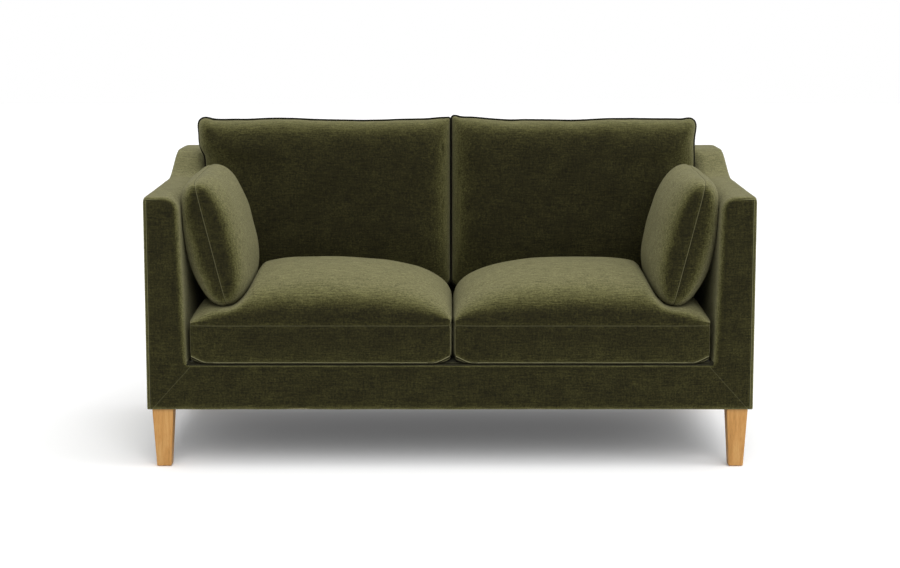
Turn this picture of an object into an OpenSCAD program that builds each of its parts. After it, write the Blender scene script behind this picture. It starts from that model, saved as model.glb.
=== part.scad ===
// Two-seat upholstered settee with swooping arms, loose cushions and tapered oak legs.
// Millimetres. +Z is up, the settee faces -Y, and the origin is on the floor under the
// middle of the settee. Places along the depth are measured from the front face.

/* [Overall] */
// Width over both arms
overall_w = 1650; // [1500:10:2100]
// Depth from the front face to the back face
overall_d = 890; // [860:5:960]
// Height of the upholstered base above the floor
leg_h = 162; // [120:1:220]
// Height of the front rail, from its lower edge to the seat deck
base_h = 123; // [115:1:150]

/* [Arms] */
// Thickness of an arm at the seat deck
arm_t = 110; // [104:1:130]
// How much thinner the arm gets towards its top
arm_taper = 19; // [4:1:24]
// Height of the arm above the seat deck at the front
arm_front_rise = 460; // [430:5:480]
// Height of the arm above the seat deck at the back
arm_back_rise = 538; // [520:2:570]
// Distance from the front where the swoop starts to climb
swoop_from = 498; // [460:2:520]
// Distance over which the swoop climbs
swoop_run = 250; // [220:5:280]
// How much the flat of the arm climbs before the swoop
arm_creep = 8; // [0:1:14]
// Radius of the soft inner top edge
arm_inner_top_r = 40; // [30:1:45]
// Radius of the seamed outer edges
arm_outer_r = 8; // [6:1:12]
// Radius of the soft inner front edge
arm_inner_front_r = 19; // [12:1:24]

/* [Back] */
// Thickness of the back at the seat deck
back_deck_t = 250; // [235:5:270]
// Rake of the inside back, in degrees
back_rake = 7.5; // [6:0.5:9]
// Radius of the soft front top edge of the back
back_front_r = 36; // [30:1:44]

/* [Seat cushions] */
// Gap between the two cushions of a pair
pair_gap = 2; // [1.5:0.5:6]
// How far the gap lies right of the middle
pair_shift = 7.5; // [-20:0.5:20]
// Gap between a cushion and the arm beside it
seat_side_gap = 2.5; // [1:0.5:6]
// How far the cushion's front stands behind the front face
seat_setback = 6; // [5:1:20]
// Gap between the cushion and the inside back
seat_back_gap = 3; // [2:0.5:8]
// Height of the lower seam above the deck
seat_low_seam = 11; // [8:1:16]
// Height of the upper seam above the deck
seat_high_seam = 107.5; // [95:0.5:125]
// Height of the crown above the upper seam
seat_crown = 139.5; // [110:0.5:150]

/* [Back cushions] */
// Height of a back cushion along its rake
back_cushion_h = 489; // [460:1:510]
// Thickness in front of its seam
back_cushion_front_t = 100; // [80:1:105]
// Distance from its seam to the inside back
back_seam_off = 72; // [60:1:80]
// Diameter of the covered welt cord
welt_d = 7; // [5:0.5:9]
// How far the left cushion's upper corner reaches over the arm
ear_out_left = 38; // [10:1:42]
// How far the right cushion's upper corner reaches over the arm
ear_out_right = 28; // [10:1:42]

/* [Bolsters] */
// Height of an arm bolster
bolster_h = 360; // [320:2:370]
// Thickness on the side that faces the sitter
bolster_inner_t = 90; // [80:1:100]
// Thickness on the side that leans on the arm
bolster_outer_t = 76; // [60:1:80]
// Lean of the bolster towards the arm, in degrees
bolster_lean = 14; // [12:0.5:15]
// How much its back end is higher than its front end, in degrees
bolster_pitch = 2; // [0:0.5:3]
// How far its front end stands behind the front face
bolster_setback = 34; // [20:2:60]
// Distance from the arm to the foot of its seam
bolster_foot_in = 108; // [98:1:115]
// Height of the foot above the seat cushion's upper seam
bolster_perch = 41; // [36:1:50]

/* [Legs] */
// Width of a leg where it meets the base
leg_top_w = 58; // [50:1:60]
// Width of a leg at the floor
leg_foot_w = 40; // [32:1:48]
// How far a leg's top stands in from the arm's faces
leg_inset = 11; // [8:1:14]
// Radius of the leg's corners
leg_corner_r = 3; // [2:0.5:6]

/* [Frame] */
// Thickness of the hardwood rails
rail_t = 28; // [24:1:32]
// Thickness of the plywood arm panels
ply_t = 9; // [6:1:12]
// Width of the arm posts across the arm
post_t = 44; // [40:1:46]
// Depth of the arm posts from front to back
post_d = 60; // [60:1:80]
// Thickness of the covers with their wadding
cover_t = 3; // [2:0.5:4]
// Thickness of the foam on the front rail
rail_foam_t = 15; // [12:1:20]
// Thickness of the foam on the inside back
back_foam_t = 25; // [15:1:30]
// Diameter of the spring wire
spring_wire = 3.8; // [3:0.1:4.5]
// Number of springs
spring_count = 10; // [8:1:12]
// Width of a spring's loops
spring_w = 48; // [40:1:56]
// Number of loops in a spring
spring_loops = 22; // [18:2:26]

/* [Hidden] */
$fn = 48;

// Colours
olive = "#3b3923";
olive_light = "#55533a";
oak = "#c79a5c";
hardwood = "#c9ab7c";
plywood = "#d6bd90";
foam = "#e9e1c4";
wadding = "#f1efe8";
steel = "#8d9196";
black_cloth = "#26262a";
webbing_cloth = "#8a7a58";

// Clearances and overruns
rest_gap = 0.4;        // between a cushion and what it rests on
joint_gap = 0.3;       // between pieces that only meet
bolt_gap = 0.1;        // round a bolt in its hole and a spring in its clip
press_gap = 3;         // between a bolster's round underside and the cushion that it presses
overrun = 5;           // how far a cut runs past the face that it opens

// Main planes and lines
half_w = overall_w / 2;
front_y = -overall_d / 2;
deck_z = leg_h + base_h;
arm_x = half_w - arm_t;                        // the arm's inner face at the deck
base_half = arm_x - joint_gap;                 // half the width of what lies between the arms
arm_top_z = deck_z + arm_back_rise;
back_in_y = overall_d - back_deck_t;           // the inside back at the deck, from the front
back_slope = tan(back_rake);

// Small sizes of the springs
spring_lip_t = 1.2;
clip_w = 16;
clip_d = 13;
tie_d = 3;
tie_share = [0.34, 0.66];

// Small sizes of the base
deck_cloth_t = 2;
deck_pad_t = 15;
rail_low_z = leg_h + cover_t;
rail_top_z = deck_z - deck_cloth_t - deck_pad_t;
cleat_top_z = rail_top_z - joint_gap - spring_wire - 2 * spring_lip_t;
spring_z = cleat_top_z + spring_lip_t;
cleat_d = 20;
cleat_h = 22;
stretcher_drop = 32;
block_leg = 70;
block_h = 60;
dust_t = 1;
dust_margin = 12;
rail_edge_r = 12;
arc_steps = 6;

// Small sizes of the arm
arm_bottom_r = 5;
arm_foam_outer_t = 5;
arm_foam_front_t = 14;
arm_foam_top_t = 16;
arm_plateau_r = 8;                             // the inner top edge where the arm meets the back
arm_swoop_steps = 11;
arm_least_r = 1;
arm_rail_h = 40;
arm_bolt_d = 8;
arm_bolt_head_d = 15;
arm_bolt_head_t = 4;
arm_bolt_off = [25, 13];                       // from the front and rear corner blocks
arm_bolt_mid_share = 0.486;                    // of the way from the first bolt to the last
arm_bolt_z = leg_h + base_h / 3;

// Small sizes of the back
back_rear_r = 10;
back_rail_h = 51;
back_cap_t = 9;
back_post_count = 4;
lower_rail_h = 55;
lower_rail_rise = 60;
web_w = 60;
web_t = 2;
web_uprights = 8;
hardboard_t = 3;

// Small sizes of the legs
leg_bolt_d = 8;
leg_bolt_down = 56;
leg_bolt_up = 34;
plate_w = 46;
plate_t = 2.5;
glide_d = 24;
glide_t = 2;

// Small sizes and shape exponents of the seat cushions
seat_steep = 2.2;
seat_round = 0.33;
seat_arm_steep = 3.6;
seat_arm_round = 1.5;
seat_arm_share = [0.22, 0.12];                 // of the crown, and the part of the width it takes
seat_peak_share = 0.56;                        // of the depth, where the crown has risen
seat_fall_share = [0.62, 0.83];                // of the depth, where it falls to the back cushion
seat_rear_share = 0.2;                         // of the crown, left under the back cushion
seat_corner_share = 0.018;
seat_edge_shares = [0.04, 0.15, 0.37, 0.66, 0.92];  // of the way in to the bolster's foot
seat_dent_shares = [0.19, 0.36, 0.52, 0.65, 0.77];  // of the bolster's thickness, from its foot
seat_far_shares = [0.84, 0.66, 0.48, 0.32, 0.19, 0.1, 0.04, 0.01];  // of the rest, to the other side
seat_deep_shares = [0, 0.01, 0.035, 0.08, 0.15, 0.25, 0.38, 0.52, 0.62, 0.7, 0.78, 0.85, 0.93, 0.98, 1];
seat_bulge = 4;
seat_low_inset = 14;
core_margin = 26;
seat_core_drop = 12;
zip_share = 0.8;
zip_h = 6;
zip_t = 1.2;

// Small sizes and shape exponents of the pillows
pillow_ring_shares = [0.02, 0.08, 0.2, 0.4, 0.7];
back_side_points = 13;
back_steep = 2.2;
back_round = 0.5;
back_corner_share = 0.012;
back_side_gap = 2;
back_pair_gap = 8;                             // between the two welts
back_split_in = 4.5;                           // from the seat cushions' gap to theirs
ear_lift = 3;
ear_sag = 5;
ear_drop = 27;
ear_turn = 20;
bolster_side_points = 11;
bolster_steep = 2.6;
bolster_round = 0.42;
bolster_corner_share = 0.07;
bolster_rear_share = 0.52;                     // of the back cushion's front, kept clear behind it
core_share = 0.62;                             // of a pillow's thickness, held by its fill
welt_sides = 5;

// A point measured from the front face
function at(x, y, z) = [x, front_y + y, z];

// Soft step from 0 to 1
function smooth(t) = let (s = min(1, max(0, t))) s * s * (3 - 2 * s);

// Soft rise from a seam: 0 at the seam, 1 from the middle on
function swell(s, steep, soft) = pow(1 - pow(1 - min(1, max(0, s)), steep), soft);

// The arm's inner face, as a distance from the middle, at a height
function arm_in(z) = arm_x + arm_taper * max(0, z - deck_z) / arm_back_rise;

// Height of the arm's top at a distance from the front
function arm_top(y) = deck_z + arm_front_rise + arm_creep * min(1, y / swoop_from)
    + (arm_back_rise - arm_front_rise - arm_creep) * smooth((y - swoop_from) / swoop_run);

// The inside back, as a distance from the front, at a height
function back_in(z) = back_in_y + max(0, z - deck_z) * back_slope;

// How far a rounded edge stands in at a distance behind an end face
function round_in(r, y) = r - sqrt(max(0, r * r - pow(r - min(r, y), 2)));

// A closed skin through rings of points. Seen along the rings' order, each runs anticlockwise.
module loft(rings) {
    n = len(rings[0]);
    m = len(rings);
    function centre(ring) = [for (k = [0:2]) [for (p = ring) p[k]] * [for (p = ring) 1] / n];
    points = concat([for (r = rings) each r], [centre(rings[0]), centre(rings[m - 1])]);
    sides = [for (i = [0:m - 2], j = [0:n - 1])
        let (a = i * n + j, b = i * n + (j + 1) % n)
        each [[a, b, a + n], [b, b + n, a + n]]];
    first = [for (j = [0:n - 1]) [(j + 1) % n, j, m * n]];
    last = [for (j = [0:n - 1]) [(m - 1) * n + j, (m - 1) * n + (j + 1) % n, m * n + 1]];
    polyhedron(points, concat(sides, first, last), convexity = 6);
}

// The edge of a unit square as points, denser towards its corners
function ease(t) = sin(90 * t);
function square_edge(n) = [
    for (k = [0:n - 1]) [-1, ease(2 * k / n - 1)],
    for (k = [0:n - 1]) [ease(2 * k / n - 1), 1],
    for (k = [0:n - 1]) [1, -ease(2 * k / n - 1)],
    for (k = [0:n - 1]) [-ease(2 * k / n - 1), -1]];

// How much of its width a soft square keeps at a place along its side
function drawn(share, along) = 1 - share * pow(abs(along), 10);

// The same piece on the right
module on_right() {
    mirror([1, 0, 0]) children();
}

// A block between two corners, measured from the front face
module block(low, high) {
    translate(at(low[0], low[1], low[2])) cube(high - low);
}

// A flat outline in Y and Z, measured from the front face, drawn out along X
module slab(x0, x1, outline) {
    translate(at(x0, 0, 0))
        rotate([90, 0, 90])
            linear_extrude(height = x1 - x0) polygon(outline);
}

// SEAT BASE

rail_out_y = cover_t + rail_foam_t;            // outer face of the front rail
rail_in_y = rail_out_y + rail_t;               // inner face of the front rail
back_rail_y = back_in_y;                       // inner face of the back rail
side_in_x = base_half - rail_t;                // inner faces of the side rails

module frame_front_rail() {
    color(hardwood)
        block([-base_half, rail_out_y, rail_low_z], [base_half, rail_in_y, rail_top_z]);
}

module frame_back_rail() {
    color(hardwood)
        block([-base_half, back_rail_y, rail_low_z], [base_half, back_rail_y + rail_t, rail_top_z]);
}

// Three bolts through each side rail, clear of the corner blocks
module arm_bolt_places() {
    first = rail_in_y + block_leg + arm_bolt_off[0];
    last = back_rail_y - block_leg - arm_bolt_off[1];
    for (y = [first, first + arm_bolt_mid_share * (last - first), last])
        translate(at(0, y, arm_bolt_z)) children();
}

module frame_side_rail() {
    color(hardwood)
        difference() {
            block([-base_half, rail_in_y, rail_low_z], [-side_in_x, back_rail_y, rail_top_z]);
            arm_bolt_places()
                translate([-base_half - overrun, 0, 0])
                    rotate([0, 90, 0])
                        cylinder(d = arm_bolt_d + 2 * bolt_gap, h = rail_t + 2 * overrun);
        }
}

module frame_stretchers() {
    color(hardwood)
        for (s = [-1, 1])
            block([s * side_in_x / 3 - rail_t / 2, rail_in_y, rail_low_z],
                  [s * side_in_x / 3 + rail_t / 2, back_rail_y, rail_top_z - stretcher_drop]);
}

module corner_block() {
    translate(at(-side_in_x, rail_in_y, rail_low_z))
        linear_extrude(height = block_h) polygon([[0, 0], [block_leg, 0], [0, block_leg]]);
}

module frame_corner_blocks() {
    mid_y = front_y + (rail_in_y + back_rail_y) / 2;
    color(hardwood)
        for (flip_x = [0, 1], flip_y = [0, 1])
            mirror([flip_x, 0, 0])
                translate([0, mid_y, 0])
                    mirror([0, flip_y, 0])
                        translate([0, -mid_y, 0])
                            corner_block();
}

module spring_cleat(y) {
    color(hardwood)
        block([-side_in_x, y, cleat_top_z - cleat_h], [side_in_x, y + cleat_d, cleat_top_z]);
}

spring_pitch = 2 * side_in_x / spring_count;
spring_from = rail_in_y + cleat_d / 2;
spring_run = back_rail_y - cleat_d / 2 - spring_from;
loop_step = spring_run / spring_loops;

// The snaking line of a no-sag spring in plan: straight bars joined by half circles
module spring_plan() {
    bend_r = loop_step / 2;
    bar = spring_w / 2 - bend_r;
    for (k = [0:spring_loops])
        translate([0, k * loop_step]) square([2 * bar, spring_wire], center = true);
    for (k = [0:spring_loops - 1])
        mirror([k % 2, 0])
            translate([bar, (k + 0.5) * loop_step])
                intersection() {
                    difference() {
                        circle(r = bend_r + spring_wire / 2, $fn = 24);
                        circle(r = bend_r - spring_wire / 2, $fn = 24);
                    }
                    translate([0, -loop_step]) square([loop_step, 2 * loop_step]);
                }
}

module at_springs() {
    for (k = [0:spring_count - 1])
        translate([-side_in_x + (k + 0.5) * spring_pitch, 0, 0]) children();
}

module seat_springs() {
    color(steel)
        at_springs()
            translate(at(0, spring_from, spring_z))
                linear_extrude(height = spring_wire) spring_plan();
}

// A folded clip that holds the end bar of a spring down on its cleat
module spring_clip() {
    bar_y = clip_d / 2 - spring_wire / 2 - bolt_gap;
    translate([-clip_w / 2, -clip_d / 2, -spring_lip_t])
        difference() {
            cube([clip_w, clip_d, spring_wire + 2 * spring_lip_t]);
            translate([-overrun, bar_y, spring_lip_t - bolt_gap])
                cube([clip_w + 2 * overrun, clip_d, spring_wire + 2 * bolt_gap]);
        }
}

module spring_clips() {
    color(steel)
        at_springs() {
            translate(at(0, spring_from, spring_z)) spring_clip();
            translate(at(0, spring_from + spring_run, spring_z)) mirror([0, 1, 0]) spring_clip();
        }
}

module spring_tie_wires() {
    color(steel)
        for (s = tie_share)
            translate(at(-side_in_x, spring_from + s * spring_run, spring_z - tie_d / 2 - bolt_gap))
                rotate([0, 90, 0]) cylinder(d = tie_d, h = 2 * side_in_x);
}

module seat_deck_pad() {
    color(wadding)
        block([-base_half, rail_in_y, rail_top_z],
              [base_half, back_rail_y - joint_gap, deck_z - deck_cloth_t]);
}

module seat_deck_cloth() {
    color(olive_light)
        block([-base_half, rail_in_y, deck_z - deck_cloth_t],
              [base_half, back_rail_y - joint_gap, deck_z]);
}

module front_rail_foam() {
    color(foam)
        slab(-base_half, base_half, [
            [cover_t, rail_low_z], [rail_out_y, rail_low_z], [rail_out_y, rail_top_z],
            [rail_in_y, rail_top_z], [rail_in_y, deck_z - cover_t],
            [cover_t + rail_edge_r, deck_z - cover_t], [cover_t, deck_z - cover_t - rail_edge_r]]);
}

module front_rail_cover() {
    top_arc = [for (k = [0:arc_steps]) let (a = 90 + 90 * k / arc_steps)
        [rail_edge_r + rail_edge_r * cos(a), deck_z - rail_edge_r + rail_edge_r * sin(a)]];
    low_arc = [for (k = [0:arc_steps]) let (a = 180 + 90 * k / arc_steps)
        [arm_bottom_r + arm_bottom_r * cos(a), leg_h + arm_bottom_r + arm_bottom_r * sin(a)]];
    color(olive)
        difference() {
            slab(-base_half, base_half,
                 concat([[rail_in_y, leg_h], [rail_in_y, deck_z]], top_arc, low_arc));
            slab(-base_half - overrun, base_half + overrun, [
                [cover_t, rail_low_z], [rail_in_y + overrun, rail_low_z],
                [rail_in_y + overrun, deck_z - cover_t],
                [cover_t + rail_edge_r, deck_z - cover_t],
                [cover_t, deck_z - cover_t - rail_edge_r]]);
        }
}

module dust_cover() {
    hole = leg_inset + leg_top_w + joint_gap;
    color(black_cloth)
        difference() {
            block([-half_w + dust_margin, dust_margin, leg_h - dust_t],
                  [half_w - dust_margin, overall_d - dust_margin, leg_h]);
            for (sx = [-1, 1], sy = [0, 1])
                translate(at(sx * (half_w - hole / 2), sy * overall_d + (1 - 2 * sy) * hole / 2, leg_h))
                    cube([hole + overrun, hole + overrun, 4 * dust_t], center = true);
        }
}

// ARMS

// Radius of the inner top edge: soft along the arm, tight where the back meets it
function inner_top_r(y) = arm_inner_top_r
    + (arm_plateau_r - arm_inner_top_r) * smooth((y - swoop_from - swoop_run / 2) / (swoop_run / 2));

// One section of the left arm at a distance from the front, stood in by an inset
function arm_ring(y, inset) =
    let (e = min(y, overall_d - y) - inset,
         xo = half_w - round_in(arm_outer_r, e) - inset,
         step_in = round_in(y < overall_d / 2 ? arm_inner_front_r : arm_outer_r, e) + inset,
         zt = arm_top(y) - round_in(arm_outer_r, e) - inset,
         zb = leg_h + round_in(arm_bottom_r, e) + inset,
         ri = max(arm_least_r, inner_top_r(y) - inset / 2),
         ro = max(arm_least_r, arm_outer_r - inset / 2),
         xi = arm_in(zt - ri) + step_in)
    concat(
        [at(-arm_x - step_in, y, zb), at(-arm_x - step_in, y, deck_z),
         at(-arm_in((deck_z + zt) / 2) - step_in, y, (deck_z + zt) / 2)],
        [for (k = [0:arc_steps]) let (a = 90 * k / arc_steps)
            at(-xi - ri * (1 - cos(a)), y, zt - ri * (1 - sin(a)))],
        [for (k = [0:3]) let (a = 30 * k) at(-xo + ro * (1 - sin(a)), y, zt - ro * (1 - cos(a)))],
        [at(-xo, y, zb)]);

function arm_stations(inset) = concat(
    [for (k = [0:5]) inset + arm_inner_front_r * (1 - cos(18 * k))],
    [swoop_from * 0.15, swoop_from / 2],
    [for (k = [0:arm_swoop_steps]) swoop_from + swoop_run * k / arm_swoop_steps],
    [for (k = [3:-1:0]) overall_d - inset - arm_outer_r * (1 - cos(30 * k))]);

module arm_shape(inset) {
    loft([for (y = arm_stations(inset)) arm_ring(y, inset)]);
}

frame_drop = cover_t + arm_foam_top_t;                   // from the arm's top to its wood
arm_frame_x = half_w - cover_t - arm_foam_outer_t;       // outer face of the arm's wood
arm_frame_in_x = arm_frame_x - 2 * ply_t - post_t;       // inner face of the arm's wood
arm_wood_z = leg_h + cover_t + plate_t + 2 * joint_gap;  // underside of the arm's wood
arm_wood_y0 = cover_t + arm_foam_front_t;
arm_wood_y1 = overall_d - cover_t - arm_foam_front_t;
arm_post_y1 = arm_wood_y1 - post_d;

// The top line of the arm's wood from front to back
function arm_wood_top(y0, y1) = concat(
    [[y0, arm_top(y0) - frame_drop]],
    [for (k = [0:arm_swoop_steps]) let (y = swoop_from + swoop_run * k / arm_swoop_steps)
        [y, arm_top(y) - frame_drop]],
    [[y1, arm_top(y1) - frame_drop]]);

function arm_wood_outline(low_z) =
    concat([[arm_wood_y1, low_z], [arm_wood_y0, low_z]], arm_wood_top(arm_wood_y0, arm_wood_y1));

leg_centre_x = half_w - leg_inset - leg_top_w / 2;
leg_front_y = leg_inset + leg_top_w / 2;
leg_back_y = overall_d - leg_inset - leg_top_w / 2;

module leg_bolt_holes() {
    for (y = [leg_front_y, leg_back_y])
        translate(at(-leg_centre_x, y, leg_h - overrun))
            cylinder(d = leg_bolt_d + 2 * bolt_gap, h = leg_bolt_up + 2 * overrun);
}

module arm_bolt_holes() {
    arm_bolt_places()
        translate([-arm_frame_in_x - ply_t, 0, 0])
            rotate([0, 90, 0]) cylinder(d = arm_bolt_d + 2 * bolt_gap, h = arm_t);
}

module arm_cover() {
    color(olive)
        difference() {
            arm_shape(0);
            arm_shape(cover_t);
            leg_bolt_holes();
            arm_bolt_holes();
        }
}

module arm_foam() {
    color(foam)
        difference() {
            arm_shape(cover_t + joint_gap);
            slab(-arm_frame_x, -arm_frame_in_x, arm_wood_outline(leg_h));
            arm_bolt_holes();
        }
}

module arm_panels() {
    color(plywood)
        difference() {
            union() {
                slab(-arm_frame_x, -arm_frame_x + ply_t, arm_wood_outline(arm_wood_z));
                slab(-arm_frame_in_x - ply_t, -arm_frame_in_x, arm_wood_outline(arm_wood_z));
            }
            arm_bolt_holes();
        }
}

module arm_posts() {
    color(hardwood)
        difference() {
            for (y = [arm_wood_y0, arm_post_y1])
                block([-arm_frame_x + ply_t, y, arm_wood_z],
                      [-arm_frame_in_x - ply_t, y + post_d, arm_top(y) - frame_drop]);
            leg_bolt_holes();
        }
}

// The arm's sill and its top rail, which follows the swoop
module arm_rails() {
    top = arm_wood_top(arm_wood_y0 + post_d, arm_post_y1);
    low = [for (k = [len(top) - 1:-1:0]) top[k] - [0, arm_rail_h]];
    color(hardwood) {
        block([-arm_frame_x + ply_t, arm_wood_y0 + post_d, arm_wood_z],
              [-arm_frame_in_x - ply_t, arm_post_y1, arm_wood_z + arm_rail_h]);
        slab(-arm_frame_x + ply_t, -arm_frame_in_x - ply_t, concat(top, low));
    }
}

// One furniture bolt, its head inside the side rail and its tip in the arm's inner panel
module arm_bolt() {
    rotate([0, -90, 0]) {
        translate([0, 0, -arm_bolt_head_t]) cylinder(d = arm_bolt_head_d, h = arm_bolt_head_t);
        cylinder(d = arm_bolt_d, h = arm_frame_in_x + ply_t - bolt_gap - side_in_x);
    }
}

module arm_bolts() {
    color(steel)
        for (side = [0, 1])
            mirror([side, 0, 0])
                arm_bolt_places() translate([-side_in_x, 0, 0]) arm_bolt();
}

// BACK

// Outline in Y and Z of the padded back, stood in by an inset
function back_outline(inset, low) =
    let (zt = arm_top_z - inset, rf = back_front_r - inset, rr = max(arm_least_r, back_rear_r - inset / 2),
         yr = overall_d - inset, yf = back_in(zt - rf) + inset)
    concat(
        [[yr, low]],
        [for (k = [0:arc_steps]) let (a = 90 * k / arc_steps)
            [yr - rr * (1 - cos(a)), zt - rr * (1 - sin(a))]],
        [for (k = [arc_steps:-1:0]) let (a = 90 * k / arc_steps)
            [yf + rf * (1 - cos(a)), zt - rf * (1 - sin(a))]],
        [[back_in(max(low, deck_z)) + inset, max(low, deck_z)]],
        low < deck_z ? [[back_in_y + inset, low]] : []);

// The room between the arms, stood in by an inset
module between_arms(inset) {
    x0 = base_half - inset;
    x1 = arm_in(arm_top_z) - joint_gap - inset;
    translate(at(0, overall_d + overrun, 0))
        rotate([90, 0, 0])
            linear_extrude(height = overall_d + 2 * overrun)
                polygon([[-x0, 0], [x0, 0], [x0, deck_z], [x1, arm_top_z], [-x1, arm_top_z], [-x0, deck_z]]);
}

module back_body(inset, low) {
    intersection() {
        slab(-half_w, half_w, back_outline(inset, low));
        between_arms(inset);
    }
}

module back_cover() {
    color(olive)
        difference() {
            back_body(0, leg_h);
            back_body(cover_t, leg_h - overrun);
            block([-base_half - overrun, back_rail_y - overrun, leg_h - overrun],
                  [base_half + overrun, back_rail_y + rail_t, rail_top_z]);
            block([-base_half - overrun, back_rail_y - overrun, leg_h - overrun],
                  [base_half + overrun, back_rail_y + cover_t + overrun, deck_z]);
        }
}

back_frame_in = cover_t + back_foam_t;          // from the cover to the webbing of the back
back_frame_half = base_half - cover_t - joint_gap;
back_frame_rear = overall_d - cover_t - hardboard_t;
back_cap_z = arm_top_z - back_frame_in;
top_rail_z = back_cap_z - back_cap_t - back_rail_h;
lower_rail_z = deck_z + lower_rail_rise;
lower_top_z = lower_rail_z + lower_rail_h;
top_rail_y = back_wood(back_cap_z);

// Front edge of the back's wood at a height
function back_wood(z) = back_in(z) + back_frame_in + web_t;

module back_foam() {
    color(foam)
        difference() {
            back_body(cover_t + joint_gap, deck_z + joint_gap);
            slab(-half_w, half_w, back_outline(back_frame_in, leg_h));
            block([-half_w, top_rail_y, leg_h], [half_w, overall_d, back_cap_z]);
        }
}

// Uprights with a notch in front for the lower rail
module back_posts() {
    outline = [
        [back_rail_y + rail_t, rail_low_z], [back_rail_y + rail_t, rail_top_z],
        [back_wood(lower_rail_z), lower_rail_z], [back_wood(lower_top_z) + rail_t, lower_rail_z],
        [back_wood(lower_top_z) + rail_t, lower_top_z], [back_wood(lower_top_z), lower_top_z],
        [back_wood(top_rail_z), top_rail_z], [back_frame_rear, top_rail_z],
        [back_frame_rear, rail_low_z]];
    pitch = (2 * back_frame_half - rail_t) / (back_post_count - 1);
    color(hardwood)
        for (k = [0:back_post_count - 1])
            slab(-back_frame_half + k * pitch, -back_frame_half + k * pitch + rail_t, outline);
}

// Two boards on the posts, one at the front and one at the rear
module back_top_rails() {
    color(hardwood)
        for (y = [top_rail_y, back_frame_rear - rail_t])
            block([-back_frame_half, y, top_rail_z], [back_frame_half, y + rail_t, top_rail_z + back_rail_h]);
}

module back_cap_board() {
    color(plywood)
        block([-back_frame_half, top_rail_y, back_cap_z - back_cap_t],
              [back_frame_half, back_frame_rear, back_cap_z]);
}

module back_lower_rail() {
    color(hardwood)
        block([-back_frame_half, back_wood(lower_top_z), lower_rail_z],
              [back_frame_half, back_wood(lower_top_z) + rail_t, lower_top_z]);
}

// Straps of webbing behind the back's foam, from the lower rail to the top rail
module back_webbing() {
    z0 = lower_rail_z + lower_rail_h / 2;
    z1 = top_rail_z + back_rail_h / 2;
    pitch = 2 * back_frame_half / web_uprights;
    color(webbing_cloth)
        for (k = [0:web_uprights - 1]) {
            x = -back_frame_half + (k + 0.5) * pitch - web_w / 2;
            slab(x, x + web_w, [
                [back_in(z0) + back_frame_in + joint_gap, z0],
                [back_in(z1) + back_frame_in + joint_gap, z1],
                [back_wood(z1) - joint_gap, z1], [back_wood(z0) - joint_gap, z0]]);
        }
}

module back_hardboard() {
    color(plywood)
        block([-back_frame_half, back_frame_rear, rail_low_z],
              [back_frame_half, back_frame_rear + hardboard_t, back_cap_z]);
}

// LEGS

module leg_section(w) {
    linear_extrude(height = leg_corner_r)
        offset(r = leg_corner_r, $fn = 24) square(w - 2 * leg_corner_r, center = true);
}

// A square leg with rounded corners that tapers on all four sides, bored for its bolt
module leg_at(x, y) {
    color(oak)
        translate(at(x, y, 0))
            difference() {
                hull() {
                    translate([0, 0, glide_t]) leg_section(leg_foot_w);
                    translate([0, 0, leg_h - leg_corner_r]) leg_section(leg_top_w);
                }
                translate([0, 0, leg_h - leg_bolt_down])
                    cylinder(d = leg_bolt_d + 2 * bolt_gap, h = leg_bolt_down + overrun);
            }
}

module at_legs() {
    for (x = [-leg_centre_x, leg_centre_x], y = [leg_front_y, leg_back_y])
        translate(at(x, y, 0)) children();
}

module leg_hanger_bolts() {
    color(steel)
        at_legs()
            translate([0, 0, leg_h - leg_bolt_down])
                cylinder(d = leg_bolt_d, h = leg_bolt_down + leg_bolt_up);
}

// Steel plates under the arm posts, each with a hole for the bolt
module leg_plates() {
    color(steel)
        at_legs()
            translate([0, 0, leg_h + cover_t + joint_gap])
                difference() {
                    translate([-plate_w / 2, -plate_w / 2, 0]) cube([plate_w, plate_w, plate_t]);
                    translate([0, 0, -overrun])
                        cylinder(d = leg_bolt_d + 2 * bolt_gap, h = plate_t + 2 * overrun);
                }
}

module leg_glides() {
    color(black_cloth)
        at_legs() cylinder(d = glide_d, h = glide_t);
}

// BOLSTER'S PLACE, which the seat cushions follow too

bolster_foot_x = arm_x - bolster_foot_in;      // foot of its seam, from the middle
bolster_foot_z = deck_z + seat_high_seam + bolster_perch;
back_foot_y = back_in_y - back_seam_off;       // foot of the back cushion's seam, from the front
bolster_rear_y = back_foot_y - back_cushion_front_t * bolster_rear_share;
bolster_l = bolster_rear_y - bolster_setback;

// Height of the flat that a bolster stands on
function bolster_floor(y) = bolster_foot_z + (y - bolster_setback) * tan(bolster_pitch);

// Height up the bolster where its inner side stands off its seam by a distance
function bolster_rise(off) =
    let (share = min(1, max(0, off) / bolster_inner_t),
         s = 1 - pow(1 - pow(share, 1 / bolster_round), 1 / bolster_steep))
    s * bolster_h / 2;

// Height of the bolster's underside at a distance inwards of its foot
function bolster_under(d, y) =
    let (c = cos(bolster_lean), s = sin(bolster_lean),
         h0 = bolster_rise(d / c),
         h1 = bolster_rise((d + h0 * s) / c),
         off = (d + h1 * s) / c)
    bolster_floor(y) + (off > bolster_inner_t ? bolster_h : bolster_rise(off) * c + max(0, off) * s);

// SEAT CUSHIONS

seat_y0 = seat_setback;
seat_y1 = back_in_y - seat_back_gap;
seat_depth = seat_y1 - seat_y0;
seat_low_z = deck_z + rest_gap;
seat_top_z = deck_z + seat_high_seam;
split_x = pair_shift;

// The sides of the two cushions. The right one is drawn on the left and mirrored.
seat_left = [-arm_x + seat_side_gap, split_x - pair_gap / 2];
seat_right = [-arm_x + seat_side_gap, -split_x - pair_gap / 2];

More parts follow.
